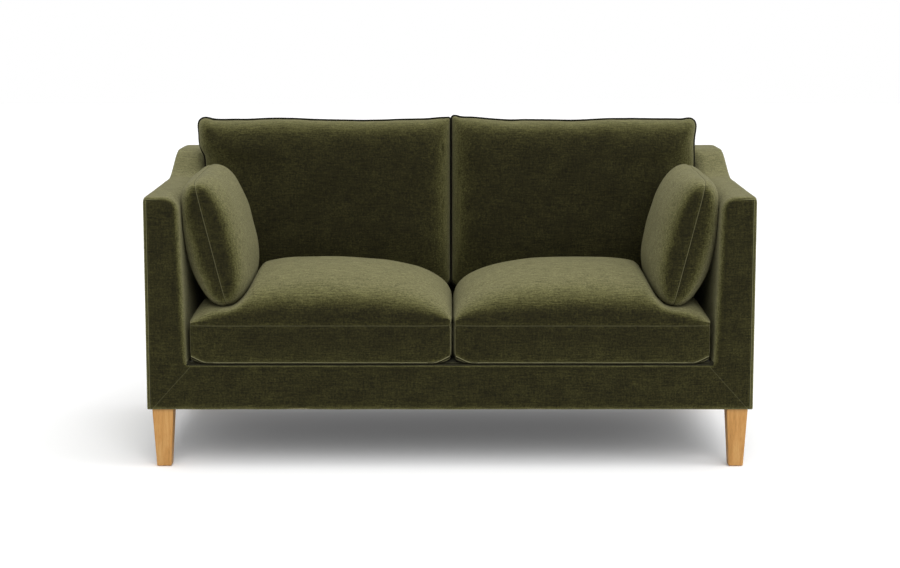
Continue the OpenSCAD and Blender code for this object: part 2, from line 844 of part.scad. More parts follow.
// Share of the crown along the cushion's depth
function crown_along(y) =
    let (t = (y - seat_y0) / seat_depth,
         rise = swell(t / seat_peak_share, seat_steep, seat_round),
         fall = smooth((t - seat_fall_share[0]) / (seat_fall_share[1] - seat_fall_share[0])),
         tail = swell((1 - t) / (1 - seat_fall_share[1]), seat_steep, seat_round))
    rise * (1 - (1 - seat_rear_share) * fall) * tail;

// Share of the crown at a distance from the side beside the arm
function crown_by_arm(share) =
    seat_arm_share[0] * swell(share / seat_arm_share[1], seat_steep, seat_round)
    + (1 - seat_arm_share[0]) * swell(share, seat_arm_steep, seat_arm_round);

// Height of a seat cushion's top, pressed down where the bolster stands
function seat_top(x, y, side) =
    let (half = (side[1] - side[0]) / 2,
         crown = seat_crown * crown_along(y)
             * crown_by_arm((x - side[0]) / half)
             * swell((side[1] - x) / half, seat_steep, seat_round),
         d = bolster_foot_x + x,
         press = rest_gap + press_gap * smooth(d / bolster_inner_t))
    min(seat_top_z + crown, bolster_under(d - press_gap, y) - press);

// A place on the cushion's plan; p and q run from -1 to 1
function seat_plan(p, q, side) =
    [(side[0] + side[1]) / 2 + p * (side[1] - side[0]) / 2 * drawn(seat_corner_share, q),
     (seat_y0 + seat_y1) / 2 + q * seat_depth / 2 * drawn(seat_corner_share, p)];

// Lines of points across the top: fine at the seams and where the bolster presses
function seat_lines_x(side) =
    let (half = (side[1] - side[0]) / 2,
         foot = (bolster_foot_in - seat_side_gap) / half,
         dent = bolster_inner_t / half,
         last = foot + seat_dent_shares[len(seat_dent_shares) - 1] * dent)
    concat([-1],
           [for (s = seat_edge_shares) s * foot - 1],
           [foot + press_gap / half - 1],
           [for (s = seat_dent_shares) foot + s * dent - 1],
           [for (s = seat_far_shares) 1 - s * (2 - last)],
           [1]);

module seat_form(side) {
    ps = seat_lines_x(side);
    qs = [for (s = seat_deep_shares) 2 * s - 1];
    ni = len(ps) - 1;
    nj = len(qs) - 1;
    rim = concat([for (j = [0:nj - 1]) [0, j]], [for (i = [0:ni - 1]) [i, nj]],
                 [for (j = [nj:-1:1]) [ni, j]], [for (i = [ni:-1:1]) [i, 0]]);
    n = len(rim);
    function low_ring(z, share, bulge) = [for (r = rim)
        let (p = ps[r[0]], q = qs[r[1]], xy = seat_plan(p * share, q * share, side))
        at(xy[0], xy[1] - (q < 0 ? -q * bulge * (1 - pow(p, 4)) : 0), z)];
    top = [for (i = [0:ni], j = [0:nj])
        let (xy = seat_plan(ps[i], qs[j], side)) at(xy[0], xy[1], seat_top(xy[0], xy[1], side))];
    function in_top(r) = 3 * n + r[0] * (nj + 1) + r[1];
    points = concat(
        low_ring(seat_low_z, 1 - seat_low_inset / (seat_depth / 2), 0),
        low_ring(deck_z + seat_low_seam, 1, 0),
        low_ring(deck_z + (seat_low_seam + seat_high_seam) / 2, 1, seat_bulge),
        top,
        [at((side[0] + side[1]) / 2, (seat_y0 + seat_y1) / 2, seat_low_z)]);
    polyhedron(points, concat(
        [for (j = [0:n - 1]) [(j + 1) % n, j, len(points) - 1]],
        [for (m = [0:2], j = [0:n - 1])
            let (k = (j + 1) % n, a = m * n + j, b = m * n + k,
                 c = m < 2 ? a + n : in_top(rim[j]), d = m < 2 ? b + n : in_top(rim[k]))
            each [[a, b, c], [b, d, c]]],
        [for (i = [0:ni - 1], j = [0:nj - 1])
            let (a = in_top([i, j]), b = in_top([i + 1, j]), c = in_top([i + 1, j + 1]), d = in_top([i, j + 1]))
            each [[a, d, c], [a, c, b]]]),
        convexity = 6);
}

module seat_core(side, gap) {
    block([side[0] + core_margin + gap, seat_y0 + core_margin + gap, deck_z + seat_core_drop + gap],
          [side[1] - core_margin - gap, seat_y1 - core_margin - gap, seat_top_z - seat_core_drop - gap]);
}

module seat_cushion_cover(side) {
    color(olive)
        difference() {
            seat_form(side);
            seat_core(side, 0);
        }
}

module seat_cushion_foam(side) {
    color(foam) seat_core(side, joint_gap);
}

// A zip along the rear border of a seat cushion
module seat_cushion_zip(side) {
    mid_x = (side[0] + side[1]) / 2;
    mid_z = deck_z + (seat_low_seam + seat_high_seam) / 2;
    half = zip_share * (side[1] - side[0]) / 2;
    color(olive_light)
        block([mid_x - half, seat_y1, mid_z - zip_h / 2], [mid_x + half, seat_y1 + zip_t, mid_z + zip_h / 2]);
}

// BACK CUSHIONS

welt_out = welt_d + joint_gap;                 // how far the welt stands out all round

// The sides of the two cushions, and how far the upper corner reaches over the arm. The right
// one is drawn on the left and mirrored.
back_left = [-arm_x + back_side_gap + welt_out,
             split_x - back_split_in - back_pair_gap / 2 - welt_out, ear_out_left];
back_right = [-arm_x + back_side_gap + welt_out,
              back_split_in - split_x - back_pair_gap / 2 - welt_out, ear_out_right];

// The cushion's foot is just above the seat cushion under it
seat_mid_x = (seat_left[0] + seat_left[1]) / 2;
back_foot_z = seat_top(seat_mid_x, back_foot_y - welt_d / 2, seat_left) + welt_out;
ear_arm_z = arm_top(back_foot_y + (arm_top_z - back_foot_z) * back_slope);

// A place on the cushion's seam plane, as [x, height]; p and q run from -1 to 1
function back_plan(p, q, side) =
    let (h = back_cushion_h * (1 + q * drawn(back_corner_share, p)) / 2,
         wide = side[2] * smooth((back_foot_z + h - ear_arm_z + ear_drop) / ear_turn),
         corner = pow(abs(p), 14),
         top = (ear_lift * corner - ear_sag * (1 - corner)) * pow((q + 1) / 2, 6))
    [(side[0] + side[1]) / 2 + p * (side[1] - side[0]) / 2 * drawn(back_corner_share, q)
         - wide * pow((1 - p) / 2, 6),
     h + top];

// A point off the seam plane, flattened by the inside back
function back_point(x, h, off) =
    let (z = back_foot_z + h)
    at(x, min(back_foot_y + h * back_slope + off, back_in(z) - rest_gap), z);

module back_form(side) {
    edge = square_edge(back_side_points);
    function ring(share, t) = [for (e = edge)
        let (p = e[0] * (1 - share), q = e[1] * (1 - share), xh = back_plan(p, q, side))
        back_point(xh[0], xh[1], t * swell(1 - abs(p), back_steep, back_round)
                                   * swell(1 - abs(q), back_steep, back_round))];
    loft(concat(
        [for (k = [len(pillow_ring_shares) - 1:-1:0]) ring(pillow_ring_shares[k], back_cushion_front_t)],
        [ring(0, 0)],
        [for (s = pillow_ring_shares) ring(s, -back_cushion_front_t)]));
}

module back_core(side, gap) {
    translate(at((side[0] + side[1]) / 2, back_foot_y + back_cushion_h / 2 * back_slope,
                 back_foot_z + back_cushion_h / 2))
        rotate([-back_rake, 0, 0])
            cube([side[1] - side[0] - 4 * core_margin - 2 * gap,
                  back_cushion_front_t * core_share - 2 * gap,
                  back_cushion_h - 4 * core_margin - 2 * gap], center = true);
}

module back_cushion_cover(side) {
    color(olive)
        difference() {
            back_form(side);
            back_core(side, 0);
        }
}

module back_cushion_fill(side) {
    color(wadding) back_core(side, joint_gap);
}

// A covered cord sewn round the cushion's edge
module back_cushion_welt(side) {
    edge = square_edge(back_side_points);
    n = len(edge);
    m = welt_sides;
    path = [for (e = edge) let (xh = back_plan(e[0], e[1], side)) back_point(xh[0], xh[1], 0)];
    function unit(v) = v / norm(v);
    rings = [for (k = [0:n - 1])
        let (along = unit(path[(k + 1) % n] - path[(k + n - 1) % n]),
             out = unit(cross(along, [0, 1, 0])),
             up = cross(out, along))
        [for (j = [0:m - 1]) let (a = 360 * j / m)
            path[k] + (welt_out - welt_d / 2) * out + welt_d / 2 * (cos(a) * out + sin(a) * up)]];
    color(olive)
        polyhedron([for (r = rings) each r], [for (i = [0:n - 1], j = [0:m - 1])
            let (a = i * m + j, b = i * m + (j + 1) % m,
                 c = ((i + 1) % n) * m + j, d = ((i + 1) % n) * m + (j + 1) % m)
            each [[a, b, c], [b, d, c]]], convexity = 6);
}

// ARM BOLSTERS

// A point of the left bolster along its length, up its height and off its seam, flattened
// where it leans on the arm and where it stands on the seat cushion
function bolster_point(l, h, off) =
    let (y = bolster_setback + l,
         z = max(bolster_floor(y),
                 bolster_floor(y) + h * cos(bolster_lean) + off * sin(bolster_lean)),
         x = -bolster_foot_x - h * sin(bolster_lean) + off * cos(bolster_lean))
    at(max(x, -arm_in(z) + rest_gap), y, z);

module bolster_form() {
    edge = square_edge(bolster_side_points);
    function ring(share, t) = [for (e = edge)
        let (p = e[0] * (1 - share), q = e[1] * (1 - share))
        bolster_point(bolster_l / 2 * (1 + p * drawn(bolster_corner_share, q)),
                      bolster_h / 2 * (1 + q * drawn(bolster_corner_share, p)),
                      t * swell(1 - abs(p), bolster_steep, bolster_round)
                        * swell(1 - abs(q), bolster_steep, bolster_round))];
    loft(concat(
        [for (k = [len(pillow_ring_shares) - 1:-1:0]) ring(pillow_ring_shares[k], -bolster_outer_t)],
        [ring(0, 0)],
        [for (s = pillow_ring_shares) ring(s, bolster_inner_t)]));
}

module bolster_core(gap) {
    mid_y = bolster_setback + bolster_l / 2;
    translate(at(-bolster_foot_x - bolster_h / 2 * sin(bolster_lean), mid_y,
                 bolster_floor(mid_y) + bolster_h / 2 * cos(bolster_lean)))
        rotate([0, -bolster_lean, 0])
            cube([bolster_outer_t * core_share - 2 * gap, bolster_l - 4 * core_margin - 2 * gap,
                  bolster_h - 4 * core_margin - 2 * gap], center = true);
}

module bolster_cover() {
    color(olive)
        difference() {
            bolster_form();
            bolster_core(0);
        }
}

module bolster_fill() {
    color(wadding) bolster_core(joint_gap);
}

frame_front_rail();
frame_back_rail();
frame_side_rail();  // frame_side_rail_left
on_right() frame_side_rail();  // frame_side_rail_right
frame_stretchers();
frame_corner_blocks();
spring_cleat(rail_in_y);  // spring_cleat_front
spring_cleat(back_rail_y - cleat_d);  // spring_cleat_back
seat_springs();
spring_clips();
spring_tie_wires();
seat_deck_pad();
seat_deck_cloth();
front_rail_foam();
front_rail_cover();
dust_cover();
arm_cover();  // arm_cover_left
on_right() arm_cover();  // arm_cover_right
arm_foam();  // arm_foam_left
on_right() arm_foam();  // arm_foam_right
arm_panels();  // arm_panels_left
on_right() arm_panels();  // arm_panels_right
arm_posts();  // arm_posts_left
on_right() arm_posts();  // arm_posts_right
arm_rails();  // arm_rails_left
on_right() arm_rails();  // arm_rails_right
arm_bolts();
back_cover();
back_foam();
back_posts();
back_top_rails();
back_lower_rail();
back_cap_board();
back_webbing();
back_hardboard();
leg_at(-leg_centre_x, leg_front_y);  // leg_front_left
leg_at(leg_centre_x, leg_front_y);  // leg_front_right
leg_at(-leg_centre_x, leg_back_y);  // leg_back_left
leg_at(leg_centre_x, leg_back_y);  // leg_back_right
leg_plates();
leg_hanger_bolts();
leg_glides();
seat_cushion_cover(seat_left);  // seat_cushion_cover_left
on_right() seat_cushion_cover(seat_right);  // seat_cushion_cover_right
seat_cushion_foam(seat_left);  // seat_cushion_foam_left
on_right() seat_cushion_foam(seat_right);  // seat_cushion_foam_right
seat_cushion_zip(seat_left);  // seat_cushion_zip_left
on_right() seat_cushion_zip(seat_right);  // seat_cushion_zip_right
back_cushion_cover(back_left);  // back_cushion_cover_left
on_right() back_cushion_cover(back_right);  // back_cushion_cover_right
back_cushion_fill(back_left);  // back_cushion_fill_left
on_right() back_cushion_fill(back_right);  // back_cushion_fill_right
back_cushion_welt(back_left);  // back_cushion_welt_left
on_right() back_cushion_welt(back_right);  // back_cushion_welt_right
bolster_cover();  // bolster_cover_left
on_right() bolster_cover();  // bolster_cover_right
bolster_fill();  // bolster_fill_left
on_right() bolster_fill();  // bolster_fill_right
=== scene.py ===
"""Two-seat settee in olive chenille velvet with swooping arms, loose cushions and oak legs.
Metres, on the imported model's frame: the settee faces -Y and stands on the floor at z = 0."""
import math

import bmesh
import bpy
import numpy as np
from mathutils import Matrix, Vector, noise
from mathutils.bvhtree import BVHTree


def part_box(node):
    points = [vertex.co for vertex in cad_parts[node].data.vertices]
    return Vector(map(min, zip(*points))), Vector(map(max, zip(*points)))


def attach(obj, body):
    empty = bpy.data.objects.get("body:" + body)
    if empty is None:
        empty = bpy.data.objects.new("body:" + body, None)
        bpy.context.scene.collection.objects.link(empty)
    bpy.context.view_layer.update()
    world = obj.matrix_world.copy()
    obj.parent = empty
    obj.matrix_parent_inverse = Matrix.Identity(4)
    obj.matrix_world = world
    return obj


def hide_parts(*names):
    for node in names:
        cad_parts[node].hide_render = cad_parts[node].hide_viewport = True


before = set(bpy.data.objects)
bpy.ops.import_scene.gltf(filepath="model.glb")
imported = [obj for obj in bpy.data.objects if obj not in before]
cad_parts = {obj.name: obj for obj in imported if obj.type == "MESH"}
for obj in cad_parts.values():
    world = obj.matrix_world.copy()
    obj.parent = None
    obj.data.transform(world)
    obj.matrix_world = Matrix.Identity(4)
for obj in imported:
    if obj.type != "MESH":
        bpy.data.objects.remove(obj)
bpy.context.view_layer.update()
scene = bpy.context.scene
bpy.ops.object.select_all(action="DESELECT")


# ---------------------------------------------------------------- places taken from the model
def corners(node):
    low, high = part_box(node)
    return np.array(low, float), np.array(high, float)


arm_low, arm_high = corners("arm_cover_left")
FRONT = arm_low[1]                      # the flush front face
HALF = -arm_low[0]                      # half the width over the arms
BASE = arm_low[2]                       # underside of the base
ARM_IN = -arm_high[0]                   # the arm's inner face at the deck
DECK = corners("seat_deck_cloth")[1][2]
BACK_IN = corners("back_cover")[0][1]   # the inside back at the deck
ARM_FRONT_TOP = DECK + 0.460
ARM_CREEP = 0.008                       # rise of the arm's flat top up to the swoop
ARM_CLIMB = 0.070                       # rise of the swoop itself
SWOOP_FROM, SWOOP_RUN = 0.498, 0.250    # where the swoop starts behind the front, and its length
ARM_TALL, ARM_FLARE = 0.538, 0.019      # height of an arm's rear over the deck, its lean up to there
UPPER_SEAM = DECK + 0.1075              # the two seams of the seat cushions' border
LOWER_SEAM = DECK + 0.0048
CROWN = 0.1395                          # rise of a seat cushion's crown over its upper seam
RAKE = math.tan(math.radians(7.5))      # lean of the inside back
BACK_FOOT_Y = BACK_IN - 0.072           # foot of the back cushions' seam
BACK_TALL = 0.4863                      # height of the back cushions' seam
LEAN = math.radians(14)                 # lean of the bolsters on the arms
BOLSTER_X = ARM_IN - 0.108              # foot of a bolster's seam
BOLSTER_Z = UPPER_SEAM + 0.041
BOLSTER_Y = FRONT + 0.034
BOLSTER_LONG, BOLSTER_TALL, BOLSTER_HALF = 0.482, 0.360, 0.090
PITCH = math.tan(math.radians(2))       # rise of the bolsters towards the back
TOUCH = 0.0004                          # left between pieces that lie against each other
DEEPEST_PAINTED_SHADE = -0.0019                       # distance from a seam at which its line of painted shade is darkest
SAME = 1e-6                             # two places closer than this are one
SIDES = (("left", -1), ("right", 1))


def step(value, low, high):
    """Soft step from 0 at low to 1 at high."""
    s = np.clip((value - low) / (high - low), 0, 1)
    return s * s * (3 - 2 * s)


def arm_top(y):
    """Height of the arm's top at a place along the depth."""
    back = y - FRONT
    return (ARM_FRONT_TOP + ARM_CREEP * np.minimum(1, back / SWOOP_FROM)
            + ARM_CLIMB * step(back, SWOOP_FROM, SWOOP_FROM + SWOOP_RUN))


def arm_in(z):
    """The arm's inner face at a height, as a distance from the middle."""
    return ARM_IN + ARM_FLARE * np.maximum(0, z - DECK) / ARM_TALL


# ---------------------------------------------------------------- working on meshes
def work_on(obj):
    """Makes obj the only selected piece."""
    bpy.ops.object.select_all(action="DESELECT")
    obj.hide_set(False)
    obj.select_set(True)
    bpy.context.view_layer.objects.active = obj
    return obj


def points(obj):
    out = np.empty(len(obj.data.vertices) * 3)
    obj.data.vertices.foreach_get("co", out)
    return out.reshape(-1, 3)


def normals(obj):
    out = np.empty(len(obj.data.vertices) * 3)
    obj.data.vertex_normals.foreach_get("vector", out)
    return out.reshape(-1, 3)


def place_points(obj, where):
    obj.data.vertices.foreach_set("co", np.ascontiguousarray(where, float).ravel())
    obj.data.update()


def modified(obj, kind, **settings):
    """Adds a modifier, applies it and leaves nothing live."""
    work_on(obj)
    tool = obj.modifiers.new(kind.title(), kind)
    for key, value in settings.items():
        setattr(tool, key, value)
    bpy.ops.object.modifier_apply(modifier=tool.name)
    return obj


def new_object(name, bm):
    mesh = bpy.data.meshes.new(name)
    bm.to_mesh(mesh)
    bm.free()
    obj = bpy.data.objects.new(name, mesh)
    scene.collection.objects.link(obj)
    return obj


def in_edit_mode(obj, *steps):
    """Runs edit-mode operators, each given with its settings, on the whole of obj."""
    work_on(obj)
    bpy.ops.object.mode_set(mode="EDIT")
    bpy.ops.mesh.select_all(action="SELECT")
    for operator, settings in steps:
        operator(**settings)
    bpy.ops.object.mode_set(mode="OBJECT")
    return obj


def outside_copy(name, node):
    """The skin of a cover whose bolt holes join its inside to its outside: what a straight
    line off a face can reach from outside stays, and the holes are closed."""
    bm = bmesh.new()
    bm.from_mesh(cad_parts[node].data)
    bmesh.ops.remove_doubles(bm, verts=bm.verts, dist=1e-5)
    bm.normal_update()
    tree = BVHTree.FromBMesh(bm)
    inner = [f for f in bm.faces
             if tree.ray_cast(f.calc_center_median() + f.normal * 2e-5, f.normal)[0] is not None]
    bmesh.ops.delete(bm, geom=inner, context="FACES")
    return in_edit_mode(new_object(name, bm), (bpy.ops.mesh.fill_holes, {"sides": 0}),
                        (bpy.ops.mesh.normals_make_consistent, {"inside": False}))


def block(name, low, high):
    """A cube at its size and place, the start of a piece that is shaped further."""
    bpy.ops.object.select_all(action="DESELECT")
    low, high = Vector(low), Vector(high)
    bpy.ops.mesh.primitive_cube_add(size=1, location=(low + high) / 2)
    obj = bpy.context.object
    obj.name = name
    obj.scale = high - low
    bpy.ops.object.transform_apply(location=True, rotation=True, scale=True)
    return obj


def pick(obj, edges=None, verts=None):
    """Selects edges by their two ends, or corners, ready for an edit-mode operator."""
    work_on(obj)
    bpy.ops.object.mode_set(mode="EDIT")
    bpy.ops.mesh.select_all(action="DESELECT")
    bpy.ops.mesh.select_mode(type="EDGE" if edges else "VERT")
    bm = bmesh.from_edit_mesh(obj.data)
    if edges:
        for e in bm.edges:
            e.select_set(bool(edges(e.verts[0].co, e.verts[1].co)))
    else:
        for v in bm.verts:
            v.select_set(bool(verts(v.co)))
    bm.select_flush_mode()
    bmesh.update_edit_mesh(obj.data)


def rounded_edges(obj, edges, width, segments):
    """Rounds the edges that are picked by their two ends."""
    pick(obj, edges=edges)
    bpy.ops.mesh.bevel(offset=width, segments=segments)
    bpy.ops.object.mode_set(mode="OBJECT")


def moved_corners(obj, verts, operator, **settings):
    """Moves or scales the corners that are picked by their place."""
    pick(obj, verts=verts)
    operator(**settings)
    bpy.ops.object.mode_set(mode="OBJECT")


def along_width(a, b):
    return abs(a.z - b.z) < SAME and abs(a.y - b.y) < SAME


def even_skin(obj, cell, rounds=3):
    """Skins obj again with even faces and eases their steps."""
    modified(obj, "REMESH", mode="VOXEL", voxel_size=cell, use_smooth_shade=True)
    modified(obj, "SMOOTH", factor=0.5, iterations=rounds)
    return obj


def swell(share, steep, soft):
    """Rise of a filled cover from its seam, 0 at the seam and 1 in the middle."""
    return (1 - (1 - np.clip(share, 0, 1)) ** steep) ** soft


def drawn(share, along):
    """How much of its width a soft square keeps at a place along its side."""
    return 1 - share * np.abs(along) ** 10


def spread(n, crowd):
    """Places from -1 to 1, closer together towards both ends."""
    t = np.linspace(-1, 1, n + 1)
    return np.sign(t) * (1 - (1 - np.abs(t)) ** crowd)


def net_faces(net):
    a, b, c, d = net[:-1, :-1], net[1:, :-1], net[1:, 1:], net[:-1, 1:]
    return np.stack([a, b, c, d], -1).reshape(-1, 4).tolist()


def rim_of(net):
    """The corners round a net, in their order."""
    return np.concatenate([net[:-1, 0], net[-1, :-1], net[:0:-1, -1], net[0, :0:-1]])


def sewn_object(name, verts, faces, seams):
    """A closed cover of nets, whose seams stay sharp when it is subdivided."""
    mesh = bpy.data.meshes.new(name)
    mesh.from_pydata(np.vstack(verts).tolist(), [], faces)
    obj = bpy.data.objects.new(name, mesh)
    scene.collection.objects.link(obj)
    in_edit_mode(obj, (bpy.ops.mesh.normals_make_consistent, {"inside": False}))
    sewn = np.zeros(len(mesh.vertices), bool)
    sewn[seams] = True
    bm = bmesh.new()
    bm.from_mesh(mesh)
    crease = bm.edges.layers.float.new("crease_edge")
    for e in bm.edges:
        e[crease] = 1.0 if sewn[e.verts[0].index] and sewn[e.verts[1].index] else 0.0
    bm.to_mesh(mesh)
    bm.free()
    return obj


def pillow(name, point, across, up, crowd, near, far, rise):
    """Two even nets sewn together at their rim; returns the pillow and its rim in order."""
    p, q = np.meshgrid(spread(across, crowd), spread(up, crowd), indexing="ij")
    full = rise(p, q)
    inner = np.zeros(p.shape, bool)
    inner[1:-1, 1:-1] = True
    first = np.arange(p.size).reshape(p.shape)
    second = first.copy()
    second[inner] = p.size + np.arange(inner.sum())
    rim = rim_of(first)
    return sewn_object(name, [point(p, q, near * full).reshape(-1, 3), point(p, q, far * full)[inner]],
                       net_faces(first) + net_faces(second[::-1]), rim), rim


def boxed(name, plan, top, low_seam, under, bulge, across, deep, rows):
    """A cushion with a border: a net on top, rows down to the lower seam and a net below."""
    p, q = np.meshgrid(spread(across, 2.2), spread(deep, 2.2), indexing="ij")
    x, y = plan(p, q)
    net = np.arange(p.size).reshape(p.shape)
    rim = rim_of(net)
    verts, faces, ring = [np.stack([x, y, top(x, y)], -1).reshape(-1, 3)], net_faces(net), rim
    rx, ry, rz, rq, rp = (a.ravel()[rim] for a in (x, y, verts[0][:, 2], q, p))
    count = p.size
    for k in range(1, rows + 1):
        s = k / rows
        out = bulge * math.sin(math.pi * s)
        verts.append(np.stack([rx, ry - out * np.maximum(0, -rq) * (1 - rp ** 4),
                               rz + (low_seam(rx, ry) - rz) * s], -1))
        new = np.arange(count, count + len(rim))
        count += len(rim)
        faces += np.stack([ring, np.roll(ring, -1), np.roll(new, -1), new], -1).tolist()
        ring = new
    lower = np.zeros(p.size, int)
    inner = np.zeros(p.shape, bool)
    inner[1:-1, 1:-1] = True
    lower[rim] = ring
    lower = lower.reshape(p.shape)
    lower[inner] = count + np.arange(inner.sum())
    verts.append(np.stack([x, y, under(x, y)], -1)[inner])
    return sewn_object(name, verts, faces + net_faces(lower[::-1]), np.concatenate([rim, ring]))


def rounded(u, v, radius):
    """Moves places near a net's corner so that its rim turns on a radius; u and v are their
    distances from its two sides."""
    a, b = ((radius - np.minimum(w, radius)) / radius for w in (u, v))
    return (u + radius * a * (1 - np.sqrt(1 - b * b / 2)),
            v + radius * b * (1 - np.sqrt(1 - a * a / 2)))


def wander(where, size, seed, amount):
    """Soft uneven stuffing: a smooth value for each point, from -amount to amount."""
    shift = Vector((seed * 7.31, seed * 3.17, seed * 5.53))
    return np.array([noise.noise(Vector(p) / size + shift) for p in where]) * amount


CLOTH_FRAMES, EVENING_ROUNDS, SEAM_HOLD = 16, 60, 0.006


def stuffed(obj, seams, cap, room):
    """Inflates a cushion between its seams as cloth under pressure. No point moves inwards,
    nor further than cap, nor further than room, its distance to the neighbours, allows."""
    start, out = points(obj), normals(obj)
    group = obj.vertex_groups.new(name="seams")
    held = np.exp(-(seams(start) / SEAM_HOLD) ** 2)
    for level in range(1, 11):
        at = np.nonzero(np.round(held * 10) == level)[0]
        if len(at):
            group.add([int(i) for i in at], level / 10, "REPLACE")
    work_on(obj)
    cloth = obj.modifiers.new("Cloth", "CLOTH")
    cloth.settings.quality = 4
    cloth.settings.mass = 0.25
    cloth.settings.tension_stiffness = cloth.settings.compression_stiffness = 12
    cloth.settings.shear_stiffness = 4
    cloth.settings.bending_stiffness = 0.4
    cloth.settings.vertex_group_mass = "seams"
    cloth.settings.use_pressure = True
    cloth.settings.uniform_pressure_force = 4
    cloth.settings.effector_weights.gravity = 0
    cloth.collision_settings.use_collision = False
    cloth.point_cache.frame_start, cloth.point_cache.frame_end = 1, CLOTH_FRAMES
    for f in range(1, CLOTH_FRAMES + 1):
        scene.frame_set(f)
    now = obj.evaluated_get(bpy.context.evaluated_depsgraph_get()).data
    after = np.empty(len(start) * 3)
    now.vertices.foreach_get("co", after)
    move = after.reshape(-1, 3) - start
    obj.modifiers.remove(cloth)
    obj.vertex_groups.clear()
    scene.frame_set(1)
    move -= np.minimum(0, np.sum(move * out, axis=1))[:, None] * out
    far = np.linalg.norm(move, axis=1) + 1e-9
    move *= (cap * (1 - np.exp(-far / (2 * cap))) / far)[:, None]
    ends = np.empty(len(obj.data.edges) * 2, int)
    obj.data.edges.foreach_get("vertices", ends)
    a, b = ends.reshape(-1, 2).T
    links = 1.0 + np.bincount(ends, minlength=len(start))
    for _ in range(EVENING_ROUNDS):
        shared = move.copy()
        np.add.at(shared, a, move[b])
        np.add.at(shared, b, move[a])
        move = shared / links[:, None] * (1 - held)[:, None]
    far = np.linalg.norm(move, axis=1) + 1e-9
    allowed = np.minimum(cap, room(start))
    place_points(obj, start + move * (np.minimum(far, allowed) / far)[:, None])
    return obj


def room_to(*nodes):
    """How far each point is from the nearest of these covers, less a clearance."""
    trees = []
    for n in nodes:
        bm = bmesh.new()
        bm.from_mesh(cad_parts[n].data)
        trees.append(BVHTree.FromBMesh(bm))
        bm.free()

    def room(where):
        out = np.full(len(where), 1.0)
        for k, p in enumerate(where):
            for tree in trees:
                hit = tree.find_nearest(Vector(p), 0.03)
                if hit[0] is not None:
                    out[k] = min(out[k], hit[3])
        return np.maximum(0, out - TOUCH)
    return room


def pressed_seam(obj, field, depth, width):
    """Draws the cloth in along a seam, whose signed distance field gives."""
    where, out = points(obj), normals(obj)
    d = field(where)
    place_points(obj, where - out * (depth * np.exp(-(d / width) ** 2))[:, None])
    return obj


def mark_seams(obj, fields, shows):
    """Keeps the signed distances to up to three seams, and how far each shows, for the cloth's
    material, which paints the stitched fold as a light line, a painted highlight, and the line
    beside it as painted shade."""
    where = points(obj)
    n = len(where)
    near, seen = np.full((n, 3), 1.0), np.zeros((n, 3))
    for k, (field, show) in enumerate(zip(fields, shows)):
        near[:, k] = field(where)
        seen[:, k] = show(where)
    for name, value in (("seam", near), ("seam_shows", seen)):
        layer = obj.data.attributes.new(name, "FLOAT_VECTOR", "POINT")
        layer.data.foreach_set("vector", value.ravel())


def everywhere(value):
    """The same value at each point."""
    return lambda where: np.full(len(where), value)


def finish_piece(obj, body, material, replaced=()):
    """Gives a finished piece its material slot and body, shades it smooth and hides the model's pieces that
    it replaces.
    """
    obj.data.materials.clear()
    obj.data.materials.append(material)
    work_on(obj)
    bpy.ops.object.shade_smooth()
    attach(obj, body)
    if replaced:
        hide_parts(*replaced)
    return obj


# ---------------------------------------------------------------- materials
def linear(colour):
    """An sRGB hex colour as linear values."""
    parts = [int(colour[k:k + 2], 16) / 255 for k in (1, 3, 5)]
    return tuple(c / 12.92 if c <= 0.04045 else ((c + 0.055) / 1.055) ** 2.4 for c in parts) + (1.0,)


def add(tree, kind, inputs=None, stops=None, **settings):
    """One node with its settings, its inputs and, for a ramp, its colour stops."""
    made = tree.nodes.new(kind)
    for key, value in settings.items():
        setattr(made, key, value)
    for key, value in (inputs or {}).items():
        if isinstance(value, bpy.types.NodeSocket):
            tree.links.new(value, made.inputs[key])
        else:
            made.inputs[key].default_value = value
    if stops:
        marks = made.color_ramp.elements
        while len(marks) < len(stops):
            marks.new(0.5)
        for mark, (place, colour) in zip(marks, stops):
            mark.position = place
            mark.color = linear(colour) if isinstance(colour, str) else (colour,) * 3 + (1,)
    return made


def new_material(name):
    mat = bpy.data.materials.new(name)
    mat.use_nodes = True
    mat.node_tree.nodes.clear()
    return mat, mat.node_tree


def surface(tree, **values):
    """The shader and the material's output."""
    shader = add(tree, "ShaderNodeBsdfPrincipled", values)
    add(tree, "ShaderNodeOutputMaterial", {0: shader.outputs[0]})
    return shader


def own_place(tree):
    """Places on the piece itself, in metres."""
    return add(tree, "ShaderNodeTexCoord").outputs["Object"]


def scaled(tree, place, scale):
    """Places with a scale of their own along X, Y and Z, for threads and grain."""
    return add(tree, "ShaderNodeMapping", {"Vector": place, "Scale": scale}).outputs[0]


def noisy(tree, place, scale, detail, rough=0.5, twist=0.0):
    return add(tree, "ShaderNodeTexNoise", {"Vector": place, "Scale": scale, "Detail": detail,
                                            "Roughness": rough, "Distortion": twist}).outputs[0]


def waves(tree, place, spacing, way, **more):
    """Bands across one axis, a spacing in metres apart."""
    inputs = {"Vector": place, "Scale": 0.31416 / spacing}
    inputs.update((key.replace("_", " "), value) for key, value in more.items())
    return add(tree, "ShaderNodeTexWave", inputs, bands_direction=way).outputs["Fac"]


def sums(tree, operation, *values):
    """One step of arithmetic on numbers and sockets."""
    return add(tree, "ShaderNodeMath", dict(enumerate(values)), operation=operation).outputs[0]


def mapped(tree, value, low, high, to_low=0.0, to_high=1.0):
    return add(tree, "ShaderNodeMapRange", {0: value, 1: low, 2: high, 3: to_low, 4: to_high}).outputs[0]


def ramp(tree, value, *stops):
    return add(tree, "ShaderNodeValToRGB", {0: value}, stops=stops).outputs[0]


def mixed(tree, share, first, second):
    """Two colours mixed by a share of the second."""
    return add(tree, "ShaderNodeMix", {0: share, 6: first, 7: second}, data_type="RGBA").outputs[2]


def bumps(tree, height, strength, depth):
    return add(tree, "ShaderNodeBump", {"Height": height, "Strength": strength,
                                        "Distance": depth}).outputs[0]


